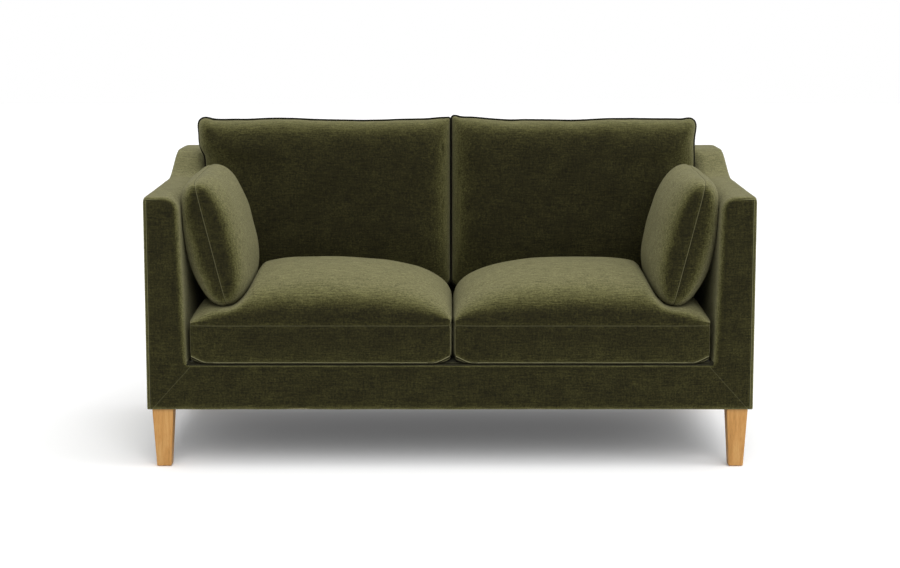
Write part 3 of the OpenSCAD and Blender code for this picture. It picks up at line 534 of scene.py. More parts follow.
def olive_velvet(name, sheen_share):
    """Chenille velvet of cotton and viscose, woven and brushed. Looked at straight on its pile is
    deep olive; where its surface turns from the view the base colour is painted a pale sage, a
    painted sheen beside the shader's own. The second argument scales this painted sheen: lower
    for a copy painted darker in shade. Real threads are 0.6 mm apart; the slubs are drawn 4 mm
    high and 30 mm long so that they show."""
    mat, tree = new_material(name)
    place = own_place(tree)
    weft = noisy(tree, scaled(tree, place, (32, 280, 240)), 1.0, 4.0, 0.62)
    warp = noisy(tree, scaled(tree, place, (230, 230, 40)), 1.0, 3.0, 0.6)
    pile = noisy(tree, scaled(tree, place, (190, 70, 220)), 1.0, 3.0, 0.7)
    patches = noisy(tree, place, 16.0, 3.0, 0.55)
    threads = sums(tree, "MULTIPLY_ADD", weft, 1.5, warp)
    grain = sums(tree, "MULTIPLY_ADD", pile, 0.6, threads)

    near, seen = (add(tree, "ShaderNodeSeparateXYZ", {0: add(
        tree, "ShaderNodeAttribute", attribute_name=kept).outputs["Vector"]}).outputs
        for kept in ("seam", "seam_shows"))
    lines = []
    for k in range(3):
        line = ramp(tree, mapped(tree, near[k], -0.008, 0.008),
                    (0.0, 0.5), (0.26, 0.5), (0.38, 0.14), (0.5, 0.95), (0.62, 0.5), (1.0, 0.5))
        lines.append(sums(tree, "MULTIPLY", sums(tree, "SUBTRACT", line, 0.5), seen[k]))
    seam = sums(tree, "ADD", sums(tree, "ADD", lines[0], lines[1]), lines[2])

    relief = bumps(tree, sums(tree, "MULTIPLY_ADD", seam, 2.0, grain), 0.35, 0.0016)
    # The base colour is ramped by how far the surface faces away from the view: a painted sheen, deep olive
    # straight on and pale sage at grazing
    facing = add(tree, "ShaderNodeLayerWeight", {"Blend": 0.5, "Normal": relief}).outputs["Facing"]
    sheen_and_tone = sums(tree, "MULTIPLY", facing, sheen_share)
    sheen_and_tone = sums(tree, "MULTIPLY_ADD", sums(tree, "SUBTRACT", patches, 0.5), 0.10, sheen_and_tone)
    sheen_and_tone = sums(tree, "MULTIPLY_ADD", sums(tree, "SUBTRACT", pile, 0.5), 0.22, sheen_and_tone)
    shade = ramp(tree, sheen_and_tone, (0.0, "#201e0c"), (0.06, "#2f2d15"), (0.15, "#444224"),
                 (0.36, "#605e3c"), (0.62, "#73704f"), (0.88, "#777453"), (1.0, "#66634a"))
    thin = mapped(tree, grain, 1.15, 1.95, 0.5, 1.5)
    thin = add(tree, "ShaderNodeCombineXYZ", {0: thin, 1: thin, 2: thin}).outputs[0]
    shade = add(tree, "ShaderNodeVectorMath", {0: shade, 1: thin}, operation="MULTIPLY").outputs[0]
    # A painted highlight along each seam's fold, then painted shade in the line beside it
    shade = mixed(tree, sums(tree, "MAXIMUM", seam, 0.0), shade, linear("#8a8764"))
    shade = mixed(tree, sums(tree, "MULTIPLY", seam, -2.2), shade, linear("#100f08"))
    surface(tree, **{"Base Color": shade, "Roughness": 0.9, "Specular IOR Level": 0.12,
                     "Sheen Weight": 0.16, "Sheen Roughness": 0.45, "Sheen Tint": linear("#b8b48d"),
                     "Normal": relief})
    return mat


def plain_weave(name, thread, dark, light, rough, height):
    """Plain woven cloth: two sets of threads that cross. thread is their spacing in metres."""
    mat, tree = new_material(name)
    place = own_place(tree)
    warp, weft = (waves(tree, place, thread, way, Distortion=0.6, Detail=1.0, Detail_Scale=4.0)
                  for way in "XY")
    up = waves(tree, place, thread, "Z", Distortion=0.6)
    cross = sums(tree, "ADD", sums(tree, "MULTIPLY", warp, weft), up)
    both = sums(tree, "MULTIPLY_ADD", cross, 0.4, noisy(tree, place, 60.0, 4.0))
    surface(tree, **{"Base Color": ramp(tree, both, (0.3, dark), (1.0, light)), "Roughness": rough,
                     "Specular IOR Level": 0.2, "Sheen Weight": 0.1, "Sheen Roughness": 0.5,
                     "Normal": bumps(tree, cross, 0.4, height)})
    return mat


def sawn_wood(name, grain, dark, mid, light, rough, coat=0.0):
    """Wood with its grain along one axis: grain gives how fast it changes along X, Y and Z,
    in lines a metre. Pores are 0.3 mm wide and drawn 1 mm wide so that they show."""
    mat, tree = new_material(name)
    place = scaled(tree, own_place(tree), grain)
    bands = noisy(tree, place, 1.0, 6.0, 0.6, 0.8)
    pores = noisy(tree, place, 7.0, 3.0, 0.7)
    both = add(tree, "ShaderNodeMix", {0: 0.35, 2: bands, 3: pores}).outputs[0]
    shade = ramp(tree, both, (0.30, dark), (0.47, mid), (0.66, light))
    surface(tree, **{"Base Color": shade, "Roughness": mapped(tree, pores, 0.3, 0.7, rough + 0.12, rough),
                     "Coat Weight": coat, "Coat Roughness": 0.35,
                     "Normal": bumps(tree, both, 0.25, 0.0006)})
    return mat


def glued_layers():
    """Birch plywood: pale layers 1.4 mm thick, glued, darker where the grain ends show."""
    mat, tree = new_material("birch_plywood_glued")
    place = own_place(tree)
    layers = waves(tree, place, 0.002805, "X", Distortion=0.4)
    flecks = noisy(tree, scaled(tree, place, (90, 12, 90)), 2.0, 5.0)
    both = add(tree, "ShaderNodeMix", {0: 0.7, 2: layers, 3: flecks}).outputs[0]
    shade = ramp(tree, both, (0.2, "#a98a5c"), (0.55, "#d6bd90"), (0.9, "#e6d3ad"))
    surface(tree, **{"Base Color": shade, "Roughness": 0.6, "Normal": bumps(tree, both, 0.2, 0.0004)})
    return mat


def open_cells():
    """Cut polyurethane foam: fine open cells, drawn 2.5 mm wide, slightly yellowed."""
    mat, tree = new_material("polyurethane_foam_cut")
    place = own_place(tree)
    cells = add(tree, "ShaderNodeTexVoronoi", {"Vector": place, "Scale": 400.0}).outputs["Distance"]
    shade = ramp(tree, noisy(tree, place, 9.0, 4.0), (0.3, "#d9cda2"), (0.7, "#ece5cb"))
    surface(tree, **{"Base Color": shade, "Roughness": 0.95, "Normal": bumps(tree, cells, 0.5, 0.0012)})
    return mat


def loose_fibres(name, dark, light, scale, height):
    """Bonded or carded fibres without a weave."""
    mat, tree = new_material(name)
    hairs = noisy(tree, own_place(tree), scale, 8.0, 0.75, 2.5)
    shade = ramp(tree, hairs, (0.3, dark), (0.7, light))
    surface(tree, **{"Base Color": shade, "Roughness": 0.95, "Specular IOR Level": 0.2,
                     "Normal": bumps(tree, hairs, 0.5, height)})
    return mat


def zinc_steel():
    """Bright zinc on drawn steel: cloudy grey."""
    mat, tree = new_material("zinc_plated_steel_drawn")
    cloud = noisy(tree, own_place(tree), 120.0, 5.0)
    shade = ramp(tree, cloud, (0.3, "#8b9096"), (0.7, "#b4b8bb"))
    surface(tree, **{"Base Color": shade, "Metallic": 1.0,
                     "Roughness": mapped(tree, cloud, 0.3, 0.7, 0.28, 0.46),
                     "Normal": bumps(tree, cloud, 0.15, 0.0003)})
    return mat


def coil_zip():
    """Nylon coil zip on woven tape: teeth 2 mm apart along the cushion."""
    mat, tree = new_material("nylon_coil_zip_on_tape")
    teeth = waves(tree, own_place(tree), 0.002001, "X")
    shade = ramp(tree, teeth, (0.2, "#25241a"), (0.8, "#4a4833"))
    surface(tree, **{"Base Color": shade, "Roughness": 0.5, "Normal": bumps(tree, teeth, 0.6, 0.0008)})
    return mat


velvet = olive_velvet("olive_chenille_velvet_woven", 1.0)
# A copy with less painted sheen, painted darker in shade, for the back cushions
velvet_shaded = olive_velvet("olive_chenille_velvet_painted_shade", 0.6)
oak = sawn_wood("european_oak_oiled", (95, 95, 6), "#9b6d2c", "#bd8845", "#cda05f", 0.42, 0.08)
beech = sawn_wood("beech_planed", (6, 70, 70), "#ab8757", "#c7a877", "#d8bd92", 0.6)
plywood = glued_layers()
foam = open_cells()
wadding = loose_fibres("polyester_wadding_bonded", "#dcd9cf", "#f4f2ec", 260.0, 0.002)
steel = zinc_steel()
lining = plain_weave("olive_cotton_lining_woven", 0.0022, "#43422c", "#626046", 0.85, 0.0006)
base_cloth = loose_fibres("black_spunbond_base_cloth", "#1b1b1e", "#2e2e32", 500.0, 0.0004)
strapping = plain_weave("jute_webbing_woven", 0.004, "#6c5d41", "#9a8862", 0.85, 0.0012)
glide = loose_fibres("black_nylon_glide_moulded", "#151517", "#232326", 150.0, 0.0002)
zip_tape = coil_zip()

# The model's own pieces, by the first word of their names, then by any word in them
FIRST_WORD = {"frame": beech, "spring": steel, "leg": steel, "back": plywood, "arm": plywood}
ANY_WORD = (("foam", foam), ("fill", wadding), ("pad", wadding), ("cleat", beech), ("posts", beech),
            ("rails", beech), ("lower_rail", beech), ("webbing", strapping), ("bolts", steel),
            ("springs", steel), ("dust", base_cloth), ("zip", zip_tape), ("glides", glide),
            ("cover", velvet), ("welt", velvet))
for name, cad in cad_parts.items():
    chosen = FIRST_WORD.get(name.split("_")[0], lining)
    for word, mat in ANY_WORD:
        if word in name and not name.startswith("frame") and not (word == "cover" and "dust" in name):
            chosen = mat
    for spot in cad.material_slots:
        spot.material = chosen

# ---------------------------------------------------------------- the upholstered frame
RAIL_END = ARM_IN + 0.045               # the rail's cover runs this far into the arms
rail_back = corners("front_rail_cover")[1][1]
rail = block("rail_start", (-RAIL_END, FRONT, BASE), (RAIL_END, rail_back, DECK))
rounded_edges(rail, lambda a, b: along_width(a, b) and a.y < FRONT + 0.01 and a.z > DECK - 0.01, 0.006, 3)
rounded_edges(rail, lambda a, b: along_width(a, b) and a.y < FRONT + 0.001 and a.z < BASE + 0.001,
              0.005, 2)
skin = outside_copy("settee_skin", "arm_cover_left")
right_arm = outside_copy("arm_start", "arm_cover_right")
work_on(skin)
right_arm.select_set(True)
rail.select_set(True)
bpy.ops.object.join()
even_skin(skin, 0.0058, 3)
where = points(skin) * [1.0028, 1, 1]
place_points(skin, where)
soft_edge = skin.vertex_groups.new(name="soft_edge")
by_front = 1 - step(where[:, 1], FRONT + 0.010, FRONT + 0.018)
by_top = step(where[:, 2], arm_top(where[:, 1]) - 0.014, arm_top(where[:, 1]) - 0.006)
by_inside = (1 - step(np.abs(where[:, 0]), ARM_IN + 0.016, ARM_IN + 0.030)) * (where[:, 2] > DECK + 0.02)
soft = by_front * np.maximum(by_top, by_inside)
for k in np.nonzero(soft > 0.02)[0]:
    soft_edge.add([int(k)], float(soft[k]), "REPLACE")
modified(skin, "SMOOTH", factor=0.5, iterations=14, vertex_group="soft_edge")
skin.vertex_groups.clear()
where, out = points(skin), normals(skin)
inside_edge = (np.abs(where[:, 0]) < HALF - 0.004).astype(float)
place_points(skin, where + out * (wander(where, 0.11, 1, 0.0009) * inside_edge)[:, None])


def on_front(p):
    return 1 - step(p[:, 1], FRONT + 0.002, FRONT + 0.006)


def side_seam(p):
    return np.abs(p[:, 0]) - (HALF - 0.0075)


def top_seam(p):
    return p[:, 2] - (arm_top(p[:, 1]) - 0.0075)


def mitre_seam(p):
    """The border's slanting seam at an arm's lower corner, by a point on it and its direction."""
    return -((np.abs(p[:, 0]) - 0.7015) * 0.7406 + (p[:, 2] - 0.2868) * 0.672)


def side_shows(p):
    return on_front(p) * (1 - step(p[:, 2], ARM_FRONT_TOP - 0.012, ARM_FRONT_TOP - 0.006))


def top_shows(p):
    return np.maximum(on_front(p) * step(np.abs(p[:, 0]), 0.772, 0.812),
                      step(np.abs(p[:, 0]), HALF - 0.004, HALF - 0.001))


def mitre_shows(p):
    return (on_front(p) * 0.35 * step(np.abs(p[:, 0]), 0.697, 0.706)
            * (1 - step(p[:, 2], DECK, DECK + 0.006)))


# The border's seams are drawn as a painted highlight with painted shade beside them
mark_seams(skin, [side_seam, top_seam, mitre_seam], [side_shows, top_shows, mitre_shows])
# The cloth in the narrow gap under the seat cushions is painted in deep shade, as dark as a seam's painted
# shade line
painted_gap_shade = ((np.abs(where[:, 0]) < ARM_IN + 0.004) & (where[:, 2] > DECK - 0.0028)
          & (where[:, 2] < DECK + 0.012))
distances, strengths = (skin.data.attributes[kept].data for kept in ("seam", "seam_shows"))
for k in np.nonzero(painted_gap_shade)[0]:
    distances[int(k)].vector = (DEEPEST_PAINTED_SHADE, 1, 1)
    strengths[int(k)].vector = (1.3, 0, 0)
finish_piece(skin, "settee_frame", velvet,
             ("arm_cover_left", "arm_cover_right", "front_rail_cover"))

back_high = corners("back_cover")[1]
back = block("back_skin", (-back_high[0], BACK_IN, BASE + 0.001), back_high)
in_edit_mode(back, (bpy.ops.mesh.bisect, {"plane_co": (0, 0, DECK), "plane_no": (0, 0, 1)}))
moved_corners(back, lambda v: v.z < DECK + 1e-4, bpy.ops.transform.resize,
              value=((ARM_IN - 0.0003) / back_high[0], 1, 1), center_override=(0, 0, 0))
moved_corners(back, lambda v: v.z > 0.8 and v.y < 0.3, bpy.ops.transform.translate,
              value=(0, (back_high[2] - DECK) * RAKE, 0))
rounded_edges(back, lambda a, b: along_width(a, b) and a.z > 0.8 and a.y < 0.4, 0.034, 8)
rounded_edges(back, lambda a, b: along_width(a, b) and a.z > 0.8 and a.y > 0.44, 0.010, 4)
even_skin(back, 0.0065, 1)
place_points(back, points(back) * [1.0025, 1, 1])
where, out = points(back), normals(back)
calm = step(back_high[0] - np.abs(where[:, 0]), 0.004, 0.03) * (where[:, 2] > BASE + 0.01)
place_points(back, where + out * (wander(where, 0.16, 2, 0.0010) * calm)[:, None])
# The top seam is drawn as a painted highlight with painted shade beside it
mark_seams(back, [lambda p: p[:, 2] - (back_high[2] - 0.012)], [lambda p: step(p[:, 1], 0.438, 0.443)])
finish_piece(back, "settee_frame", velvet, ("back_cover",))

def stretched_cloth(name, low, high, cuts, sag):
    """A cloth over a box's top that sinks in its middle and stays at its edges."""
    bpy.ops.object.select_all(action="DESELECT")
    bpy.ops.mesh.primitive_grid_add(x_subdivisions=cuts, y_subdivisions=cuts // 2, size=1)
    obj = bpy.context.object
    obj.name = name
    place_points(obj, points(obj) * [high[0] - low[0], high[1] - low[1], 0]
                 + [(high[0] + low[0]) / 2, (high[1] + low[1]) / 2, high[2]])
    p = points(obj)
    u = 2 * (p[:, 0] - low[0]) / (high[0] - low[0]) - 1
    v = 2 * (p[:, 1] - low[1]) / (high[1] - low[1]) - 1
    p[:, 2] -= sag * (1 - u ** 4) * (1 - v ** 4) * (1 + wander(p, 0.12, 4, 0.4))
    place_points(obj, p)
    return obj


# Cloth stretched over the springs under the seat cushions
DECK_SAG = 0.0006
cloth_low, cloth_high = corners("seat_deck_cloth")
deck = stretched_cloth("seat_deck_lining", cloth_low, cloth_high, 80, DECK_SAG)
modified(deck, "SOLIDIFY", thickness=cloth_high[2] - cloth_low[2] - DECK_SAG, offset=-1)
finish_piece(deck, "settee_frame", lining, ("seat_deck_cloth",))

# Thin cloth stapled under the base, cut out round the legs
low, high = corners("dust_cover")
leg_high = corners("leg_front_left")[1]
notch_x, notch_y = -(leg_high[0] + 0.003), -(leg_high[1] + 0.003)
xs = np.concatenate([np.linspace(low[0], -notch_x, 6), np.linspace(-notch_x, notch_x, 90)[1:],
                     np.linspace(notch_x, high[0], 6)[1:]])
ys = np.concatenate([np.linspace(low[1], -notch_y, 6), np.linspace(-notch_y, notch_y, 50)[1:],
                     np.linspace(notch_y, high[1], 6)[1:]])
x, y = np.meshgrid(xs, ys, indexing="ij")
share = (1 - (x / high[0]) ** 4) * (1 - (y / high[1]) ** 4)
z = high[2] - 0.0002 - 0.0035 * share * (1 + 0.5 * np.sin(41 * x + 3) * np.cos(23 * y))
net = np.arange(x.size).reshape(x.shape)
squares = [f for f in net_faces(net) if not (
    np.abs(x.ravel()[f]).mean() > notch_x and np.abs(y.ravel()[f]).mean() > notch_y)]
bm = bmesh.new()
made = [bm.verts.new(c) for c in np.stack([x, y, z], -1).reshape(-1, 3)]
for f in squares:
    bm.faces.new([made[k] for k in f])
bmesh.ops.delete(bm, geom=[v for v in bm.verts if not v.link_faces], context="VERTS")
dust = new_object("base_dust_cloth", bm)
modified(dust, "SOLIDIFY", thickness=0.0005, offset=0)
finish_piece(dust, "settee_frame", base_cloth, ("dust_cover",))

# ---------------------------------------------------------------- seat cushions
def bolster_rise(off):
    """Height up a bolster where its inner side stands off its seam by a distance."""
    share = np.clip(off / BOLSTER_HALF, 0, 1)
    return (1 - (1 - share ** (1 / 0.42)) ** (1 / 2.6)) * BOLSTER_TALL / 2


def bolster_under(d, y):
    """Height of the bolster's round underside at a distance inwards of its foot."""
    c, s = math.cos(LEAN), math.sin(LEAN)
    off = (d + bolster_rise((d + bolster_rise(d / c) * s) / c) * s) / c
    floor = BOLSTER_Z + (y - BOLSTER_Y) * PITCH
    return floor + np.where(off > BOLSTER_HALF, BOLSTER_TALL,
                            bolster_rise(off) * c + np.maximum(0, off) * s)


for side, sign in SIDES:
    cover = "seat_cushion_cover_" + side
    other = "seat_cushion_cover_" + ("right" if side == "left" else "left")
    low, high = corners(cover)
    x0, x1 = -ARM_IN + 0.0025, (high[0] if side == "left" else -low[0])
    y0, y1 = FRONT + 0.006, high[1]

    def plan(p, q):
        """A place on the cushion's plan, which is drawn on the left and mirrored."""
        return ((x0 + x1) / 2 + p * (x1 - x0) / 2 * drawn(0.018, q),
                (y0 + y1) / 2 + q * (y1 - y0) / 2 * drawn(0.018, p))

    def seat_top(x, y):
        """The crowned top, pressed down where the bolster stands and under the back cushion."""
        t, half = (y - y0) / (y1 - y0), (x1 - x0) / 2
        along = (swell(t / 0.56, 2.2, 0.33) * (1 - 0.8 * step(t, 0.62, 0.83))
                 * swell((1 - t) / 0.17, 2.2, 0.33))
        across = ((0.22 * swell((x - x0) / half / 0.12, 2.2, 0.33) + 0.78 * swell((x - x0) / half, 3.6, 1.5))
                  * swell((x1 - x) / half, 2.2, 0.33))
        crown = UPPER_SEAM + CROWN * along * across
        d = x + BOLSTER_X
        pressed = bolster_under(d - 0.003, y) - TOUCH - 0.003 * step(d, 0, BOLSTER_HALF)
        gap = np.clip((pressed - crown) / 0.014, -1, 1)
        return np.minimum(crown, pressed) - 0.0035 * (1 - np.abs(gap)) ** 2 * (crown > UPPER_SEAM + 0.004)

    def lift(x, y):
        """How far the lower corners turn up at the front."""
        end = np.minimum(x - x0, x1 - x)
        return 0.022 * (1 - step(end, -0.012, 0.054)) * (1 - step(y - y0, 0.03, 0.12))

    def low_seam(x, y):
        return LOWER_SEAM + lift(x, y)

    def under(x, y):
        edge = np.minimum(np.minimum(x - x0, x1 - x), np.minimum(y - y0, y1 - y))
        return (DECK + TOUCH + (LOWER_SEAM - DECK - TOUCH) * np.clip(1 - edge / 0.014, 0, 1) ** 2
                + lift(x, y) * np.clip(1 - edge / 0.04, 0, 1))

    seat = boxed("seat_cushion_" + side, plan, seat_top, low_seam, under, 0.004, 56, 42, 6)
    if side == "right":
        place_points(seat, points(seat) * [-1, 1, 1])
        in_edit_mode(seat, (bpy.ops.mesh.flip_normals, {}))

    def upper(p):
        return p[:, 2] - UPPER_SEAM

    def lower(p):
        return p[:, 2] - low_seam(-sign * p[:, 0], p[:, 1])

    near = room_to(other, "bolster_cover_" + side, "back_cushion_cover_" + side,
                   "arm_cover_" + side, "front_rail_cover", "back_cover", "seat_deck_cloth")
    stuffed(seat, lambda p: np.minimum(np.abs(upper(p)), np.abs(lower(p))), 0.005, near)
    modified(seat, "SUBSURF", levels=2, render_levels=2)
    where, out = points(seat), normals(seat)
    free = step(out[:, 2], 0.2, 0.7) * np.minimum(1, near(where) / 0.01)
    place_points(seat, where + out * (wander(where, 0.09, 5 + sign, 0.0022) * free)[:, None])
    pressed_seam(seat, upper, 0.0022, 0.0050)
    pressed_seam(seat, lower, 0.0020, 0.0045)
    # The seams are drawn as a painted highlight with painted shade beside them; the lower seam's lines are
    # wider and stronger
    mark_seams(seat, [upper, lambda p: (lower(p) - 0.0012) * 0.7], [everywhere(0.6), everywhere(2.0)])
    finish_piece(seat, "seat_cushion_" + side, velvet, (cover,))

# ---------------------------------------------------------------- back cushions
PIPING, PIPING_OUT = 0.0030, 0.0020     # radius of the piping, and how far it stands off its seam
# The top edge's slight rise and fall as it was sewn, and the full corners: places along X in
# metres and heights in millimetres
TOP_LINE = {
    "left": ([-0.745, -0.720, -0.712, -0.706, -0.700, -0.665, -0.606, -0.547, -0.488, -0.430, -0.370,
              -0.250, -0.190, -0.133, -0.074, -0.015, 0.0],
             [8.3, 8.3, 7.4, 5.0, 2.7, 1.8, 2.0, 5.0, 5.0, 3.0, -0.3, -0.3, 0.3, 2.0, 3.3, 7.4, 8.3]),
    "right": ([0.006, 0.012, 0.018, 0.024, 0.038, 0.059, 0.118, 0.177, 0.355, 0.414, 0.473, 0.532,
               0.591, 0.670, 0.686, 0.698, 0.709, 0.730],
              [11.8, 13.9, 13.9, 11.0, 8.9, 8.0, 3.8, -0.6, -0.3, 2.4, 5.3, 5.3, 2.4, 2.0, 2.4, 5.6,
               6.5, 6.5])}
# How the outer edge leans out, reaches over the arm and ends in an ear, and where the inner edge is
BACK_EDGE = {"left": (0.019, 0.0161, 0.0028, -0.0005), "right": (0.0166, 0, 0.0045, -0.0060)}
for side, sign in SIDES:
    cover, welt_node = "back_cushion_cover_" + side, "back_cushion_welt_" + side
    other = "right" if side == "left" else "left"
    low, high = corners(cover)
    foot = low[2]
    slope, over, ear, x1 = BACK_EDGE[side]
    line_x, line_z = TOP_LINE[side]

    def back_point(p, q, off):
        """A point of the cushion across it, up it and off its seam."""
        h = BACK_TALL * (1 + q) / 2
        z = foot + h
        x0 = -(ARM_IN - 0.0048 + slope * (z - DECK) / ARM_TALL + over * step(z, 0.806, 0.842)
               + ear * step(z, 0.85, 0.90))
        u, v = (p + 1) / 2 * (x1 - x0), BACK_TALL - h
        u, v = rounded(u, v, 0.020)
        u, w = rounded(u, BACK_TALL - v, 0.030)
        v = BACK_TALL - w
        e, v = rounded((x1 - x0) - u, v, 0.004)
        e, h = rounded(e, BACK_TALL - v, 0.022)
        x = x1 - e
        z = (foot - 0.0012 + h
             + 0.001 * np.interp(-sign * x / 1.01, line_x, line_z) * np.clip(h / BACK_TALL, 0, 1) ** 12)
        y = np.minimum(BACK_FOOT_Y + h * RAKE + off, BACK_IN + np.maximum(0, z - DECK) * RAKE - TOUCH)
        return np.stack([-sign * x, y, z], -1)

    def back_fullness(p, q):
        """How full the cushion is: its upper outer corner is a bulb of its own."""
        by_bolster = swell(1 + p, 3.6 + 4 * step(q, 0.50, 0.75), 0.42)
        full = (np.where(p < 0, by_bolster, swell(1 - p, 8, 0.40))
                * np.where(q < 0, swell(1 + q, 2.6, 0.48), swell(1 - q, 9, 0.37)))
        bulb = np.exp(-(((p + 0.945) / 0.065) ** 2 + ((q - 0.90) / 0.10) ** 2))
        return full + 0.09 * bulb * swell((1 - np.abs(p)) / 0.03, 2, 0.5) * swell((1 - q) / 0.05, 2, 0.5)

    cushion, rim = pillow("back_cushion_" + side, back_point, 88, 60, 1.7, -0.087, 0.098, back_fullness)
    near = room_to("back_cushion_cover_" + other, "bolster_cover_" + side, "seat_cushion_cover_" + side,
                   "seat_cushion_cover_" + other, "arm_cover_" + side, "back_cover")
    held = np.isin(np.arange(len(cushion.data.vertices)), rim)
    stuffed(cushion, lambda p: np.where(held, 0.0, 1.0), 0.007, near)
    modified(cushion, "SUBSURF", levels=1, render_levels=1)
    where, out = points(cushion), normals(cushion)
    free = np.minimum(1, near(where) / 0.01)
    soft = wander(where, 0.12, 9 + sign, 0.0034) + wander(where, 0.045, 19 + sign, 0.0010)
    edge_x = high[0] if side == "left" else low[0]
    if side == "left":                  # dents in the cloth beside the gap
        for spot, size, depth in ((0.836, 0.012, 0.006), (0.668, 0.015, 0.006), (0.742, 0.010, 0.003)):
            soft -= depth * np.exp(-((where[:, 2] - spot) / size) ** 2
                                   - ((where[:, 0] - edge_x) / 0.016) ** 2)
    free *= step(np.abs(where[:, 0] - edge_x), 0.009, 0.016)
    place_points(cushion, where + out * (soft * free)[:, None])
    mark_seams(cushion, [everywhere(1.0)], [everywhere(0.0)])
    # The back cushions take the copy of the cloth painted darker in shade
    finish_piece(cushion, "back_cushion_" + side, velvet_shaded, (cover,))

    # The covered cord sewn round the cushion's edge, half sunk between its two sides
    ring = points(cushion)[rim][::2]
    curve = bpy.data.curves.new("back_cushion_welt_" + side, "CURVE")
    curve.dimensions = "3D"
    curve.bevel_depth = PIPING
    curve.bevel_resolution = 2
    curve.resolution_u = 3
    line = curve.splines.new("NURBS")
    line.points.add(len(ring) - 1)
    along = np.roll(ring, -1, axis=0) - np.roll(ring, 1, axis=0)
    outward = np.cross(along, [0, 1, 0])
    outward /= np.linalg.norm(outward, axis=1)[:, None]
    if np.mean(np.sum(outward * (ring - ring.mean(0)), axis=1)) < 0:
        outward = -outward
    for k, p in enumerate(ring + outward * PIPING_OUT):
        line.points[k].co = (*p, 1)
    line.use_cyclic_u = True
    line.order_u = 4
    welt = bpy.data.objects.new("back_cushion_piping_" + side, curve)
    scene.collection.objects.link(welt)
    work_on(welt)
    bpy.ops.object.convert(target="MESH")
    welt = bpy.context.object
    # The piping is painted as dark as a seam's deepest painted shade
    mark_seams(welt, [everywhere(DEEPEST_PAINTED_SHADE)], [everywhere(1.25)])
    finish_piece(welt, "back_cushion_" + side, velvet, (welt_node,))

# ---------------------------------------------------------------- arm bolsters
for side, sign in SIDES:
    cover = "bolster_cover_" + side

    def bolster_point(p, q, off):
        """A point of the bolster along it, up it and off its seam."""
        y = BOLSTER_Y + BOLSTER_LONG / 2 * (1 + p * drawn(0.07, q))
        h = BOLSTER_TALL / 2 * (1 + q * drawn(0.07, p))
        floor = BOLSTER_Z + (y - BOLSTER_Y) * PITCH
        z = np.maximum(floor, floor + h * math.cos(LEAN) + off * math.sin(LEAN))
        x = -BOLSTER_X - h * math.sin(LEAN) + off * math.cos(LEAN)
        x = np.maximum(x, -arm_in(z) + TOUCH)
        return np.stack([-sign * x, y, z], -1)

    def bolster_fullness(p, q):
        """How full the bolster is: the front end is flatter than the rear one."""
        return (np.where(p < 0, swell(1 + p, 2.6, 0.26), swell(1 - p, 2.6, 0.42))
                * swell(1 - np.abs(q), 2.6, 0.42))

    def off_middle(p):
        """Distance from the plane of the bolster's seam."""
        floor = BOLSTER_Z + (p[:, 1] - BOLSTER_Y) * PITCH
        return (-sign * p[:, 0] + BOLSTER_X) * math.cos(LEAN) + (p[:, 2] - floor) * math.sin(LEAN)

    bolster, rim = pillow("bolster_" + side, bolster_point, 52, 44, 1.9, BOLSTER_HALF, -0.088,
                          bolster_fullness)
    near = room_to("seat_cushion_cover_" + side, "arm_cover_" + side, "back_cushion_cover_" + side)
    held = np.isin(np.arange(len(bolster.data.vertices)), rim)
    stuffed(bolster, lambda p: np.where(held, 0.0, 1.0), 0.005, near)
    modified(bolster, "SUBSURF", levels=2, render_levels=2)
    where, out = points(bolster), normals(bolster)
    free = np.minimum(1, near(where) / 0.01)
    place_points(bolster, where + out * (wander(where, 0.07, 40 + sign, 0.0022) * free)[:, None])
    pressed_seam(bolster, off_middle, 0.0020, 0.0045)
    # The seam is drawn as a painted highlight with painted shade beside it
    mark_seams(bolster, [off_middle], [everywhere(0.8)])
    finish_piece(bolster, "bolster_" + side, velvet, (cover,))

# ---------------------------------------------------------------- legs
LEG_TAPER = 0.040 / 0.058               # a leg's foot against its top
for name in ("leg_front_left", "leg_front_right", "leg_back_left", "leg_back_right"):
    low, high = corners(name)
    mid = (low + high) / 2
    leg = block(name + "_oak", low, high)
    moved_corners(leg, lambda v: v.z < 0.05, bpy.ops.transform.resize, value=(LEG_TAPER, LEG_TAPER, 1),
                  center_override=(mid[0], mid[1], low[2]))
    rounded_edges(leg, lambda a, b: abs(a.z - b.z) > 0.05, 0.0032, 4)
    rounded_edges(leg, lambda a, b: max(a.z, b.z) < low[2] + 1e-4, 0.0018, 2)
    leg.data.materials.clear()
    leg.data.materials.append(oak)
    work_on(leg)
    bpy.ops.object.shade_smooth_by_angle(angle=math.radians(35))
    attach(leg, "settee_frame")
    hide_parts(name)

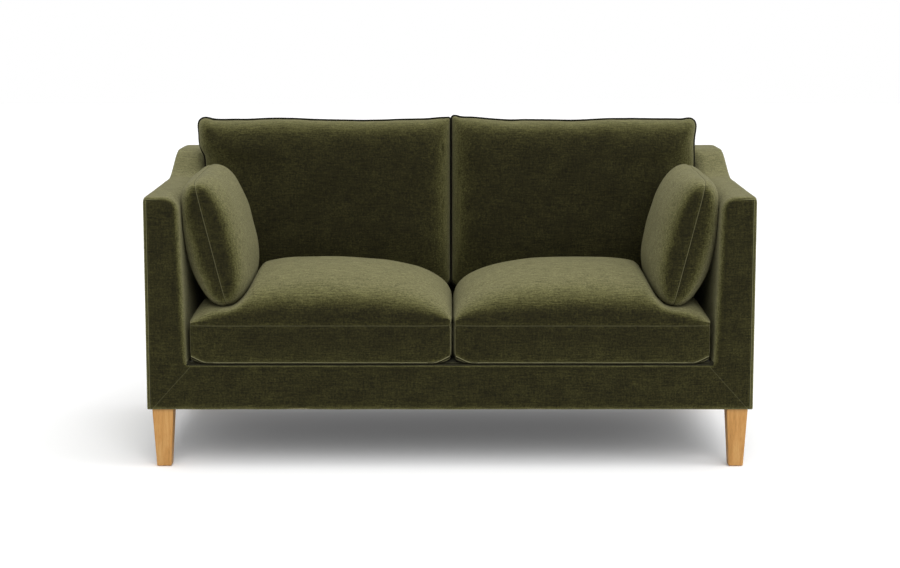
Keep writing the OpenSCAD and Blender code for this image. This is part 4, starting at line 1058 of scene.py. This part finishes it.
# ---------------------------------------------------------------- floor, light and camera
bpy.ops.object.select_all(action="DESELECT")
bpy.ops.mesh.primitive_plane_add(size=30, location=(0, 4, 0))
floor = bpy.context.object
floor.name = "studio_floor"
mat, tree = new_material("white_paper_floor_matt")
seen = add(tree, "ShaderNodeLightPath").outputs["Is Camera Ray"]
white = mixed(tree, seen, (0.8, 0.8, 0.8, 1), (1.0, 1.0, 1.0, 1))
paper = add(tree, "ShaderNodeBsdfDiffuse", {0: white})
# For camera rays the floor also glows faintly, a painted light that lifts the shadow under the settee
glow = add(tree, "ShaderNodeEmission", {0: (1, 1, 1, 1), 1: sums(tree, "MULTIPLY", seen, 0.09)})
paper = add(tree, "ShaderNodeAddShader", {0: paper.outputs[0], 1: glow.outputs[0]})
add(tree, "ShaderNodeOutputMaterial", {0: paper.outputs[0]})
floor.data.materials.append(mat)

world = bpy.data.worlds.new("studio")
scene.world = world
world.use_nodes = True
tree = world.node_tree
tree.nodes.clear()
rays = add(tree, "ShaderNodeLightPath").outputs
seen = sums(tree, "MAXIMUM", rays["Is Camera Ray"], rays["Is Glossy Ray"])
seen = sums(tree, "MAXIMUM", seen, rays["Is Transmission Ray"])
glow = add(tree, "ShaderNodeMix", {0: seen, 2: 0.43, 3: 1.0}).outputs[0]
sky = add(tree, "ShaderNodeBackground", {0: (1, 1, 1, 1), 1: glow})
add(tree, "ShaderNodeOutputWorld", {0: sky.outputs[0]})


def softbox(name, place, aim, size, power):
    lamp = bpy.data.lights.new(name, "AREA")
    lamp.shape = "RECTANGLE"
    lamp.size, lamp.size_y = size
    lamp.energy = power
    obj = bpy.data.objects.new(name, lamp)
    obj.location = place
    obj.rotation_euler = (Vector(aim) - Vector(place)).to_track_quat("-Z", "Y").to_euler()
    scene.collection.objects.link(obj)


def wide_sun(name, energy, angle, turn):
    lamp = bpy.data.lights.new(name, "SUN")
    lamp.energy = energy
    lamp.angle = math.radians(angle)
    obj = bpy.data.objects.new(name, lamp)
    obj.rotation_euler = [math.radians(a) for a in turn]
    scene.collection.objects.link(obj)


wide_sun("overhead", 1.2, 60, (8, 14, 0))
wide_sun("front", 1.45, 40, (54, 0, 8))
softbox("right_side", (4.2, -1.5, 2.6), (0, 0, 0.4), (2.2, 2.2), 25)

camera = bpy.data.objects.new("photo_camera", bpy.data.cameras.new("photo_camera"))
camera.data.lens = 80.52
camera.data.sensor_width = 36
camera.location = (0, -5.8326, 1.2671)
camera.rotation_euler = (math.radians(81.991), 0, 0)
scene.collection.objects.link(camera)
scene.camera = camera
scene.view_settings.view_transform = "Standard"

bpy.context.view_layer.update()
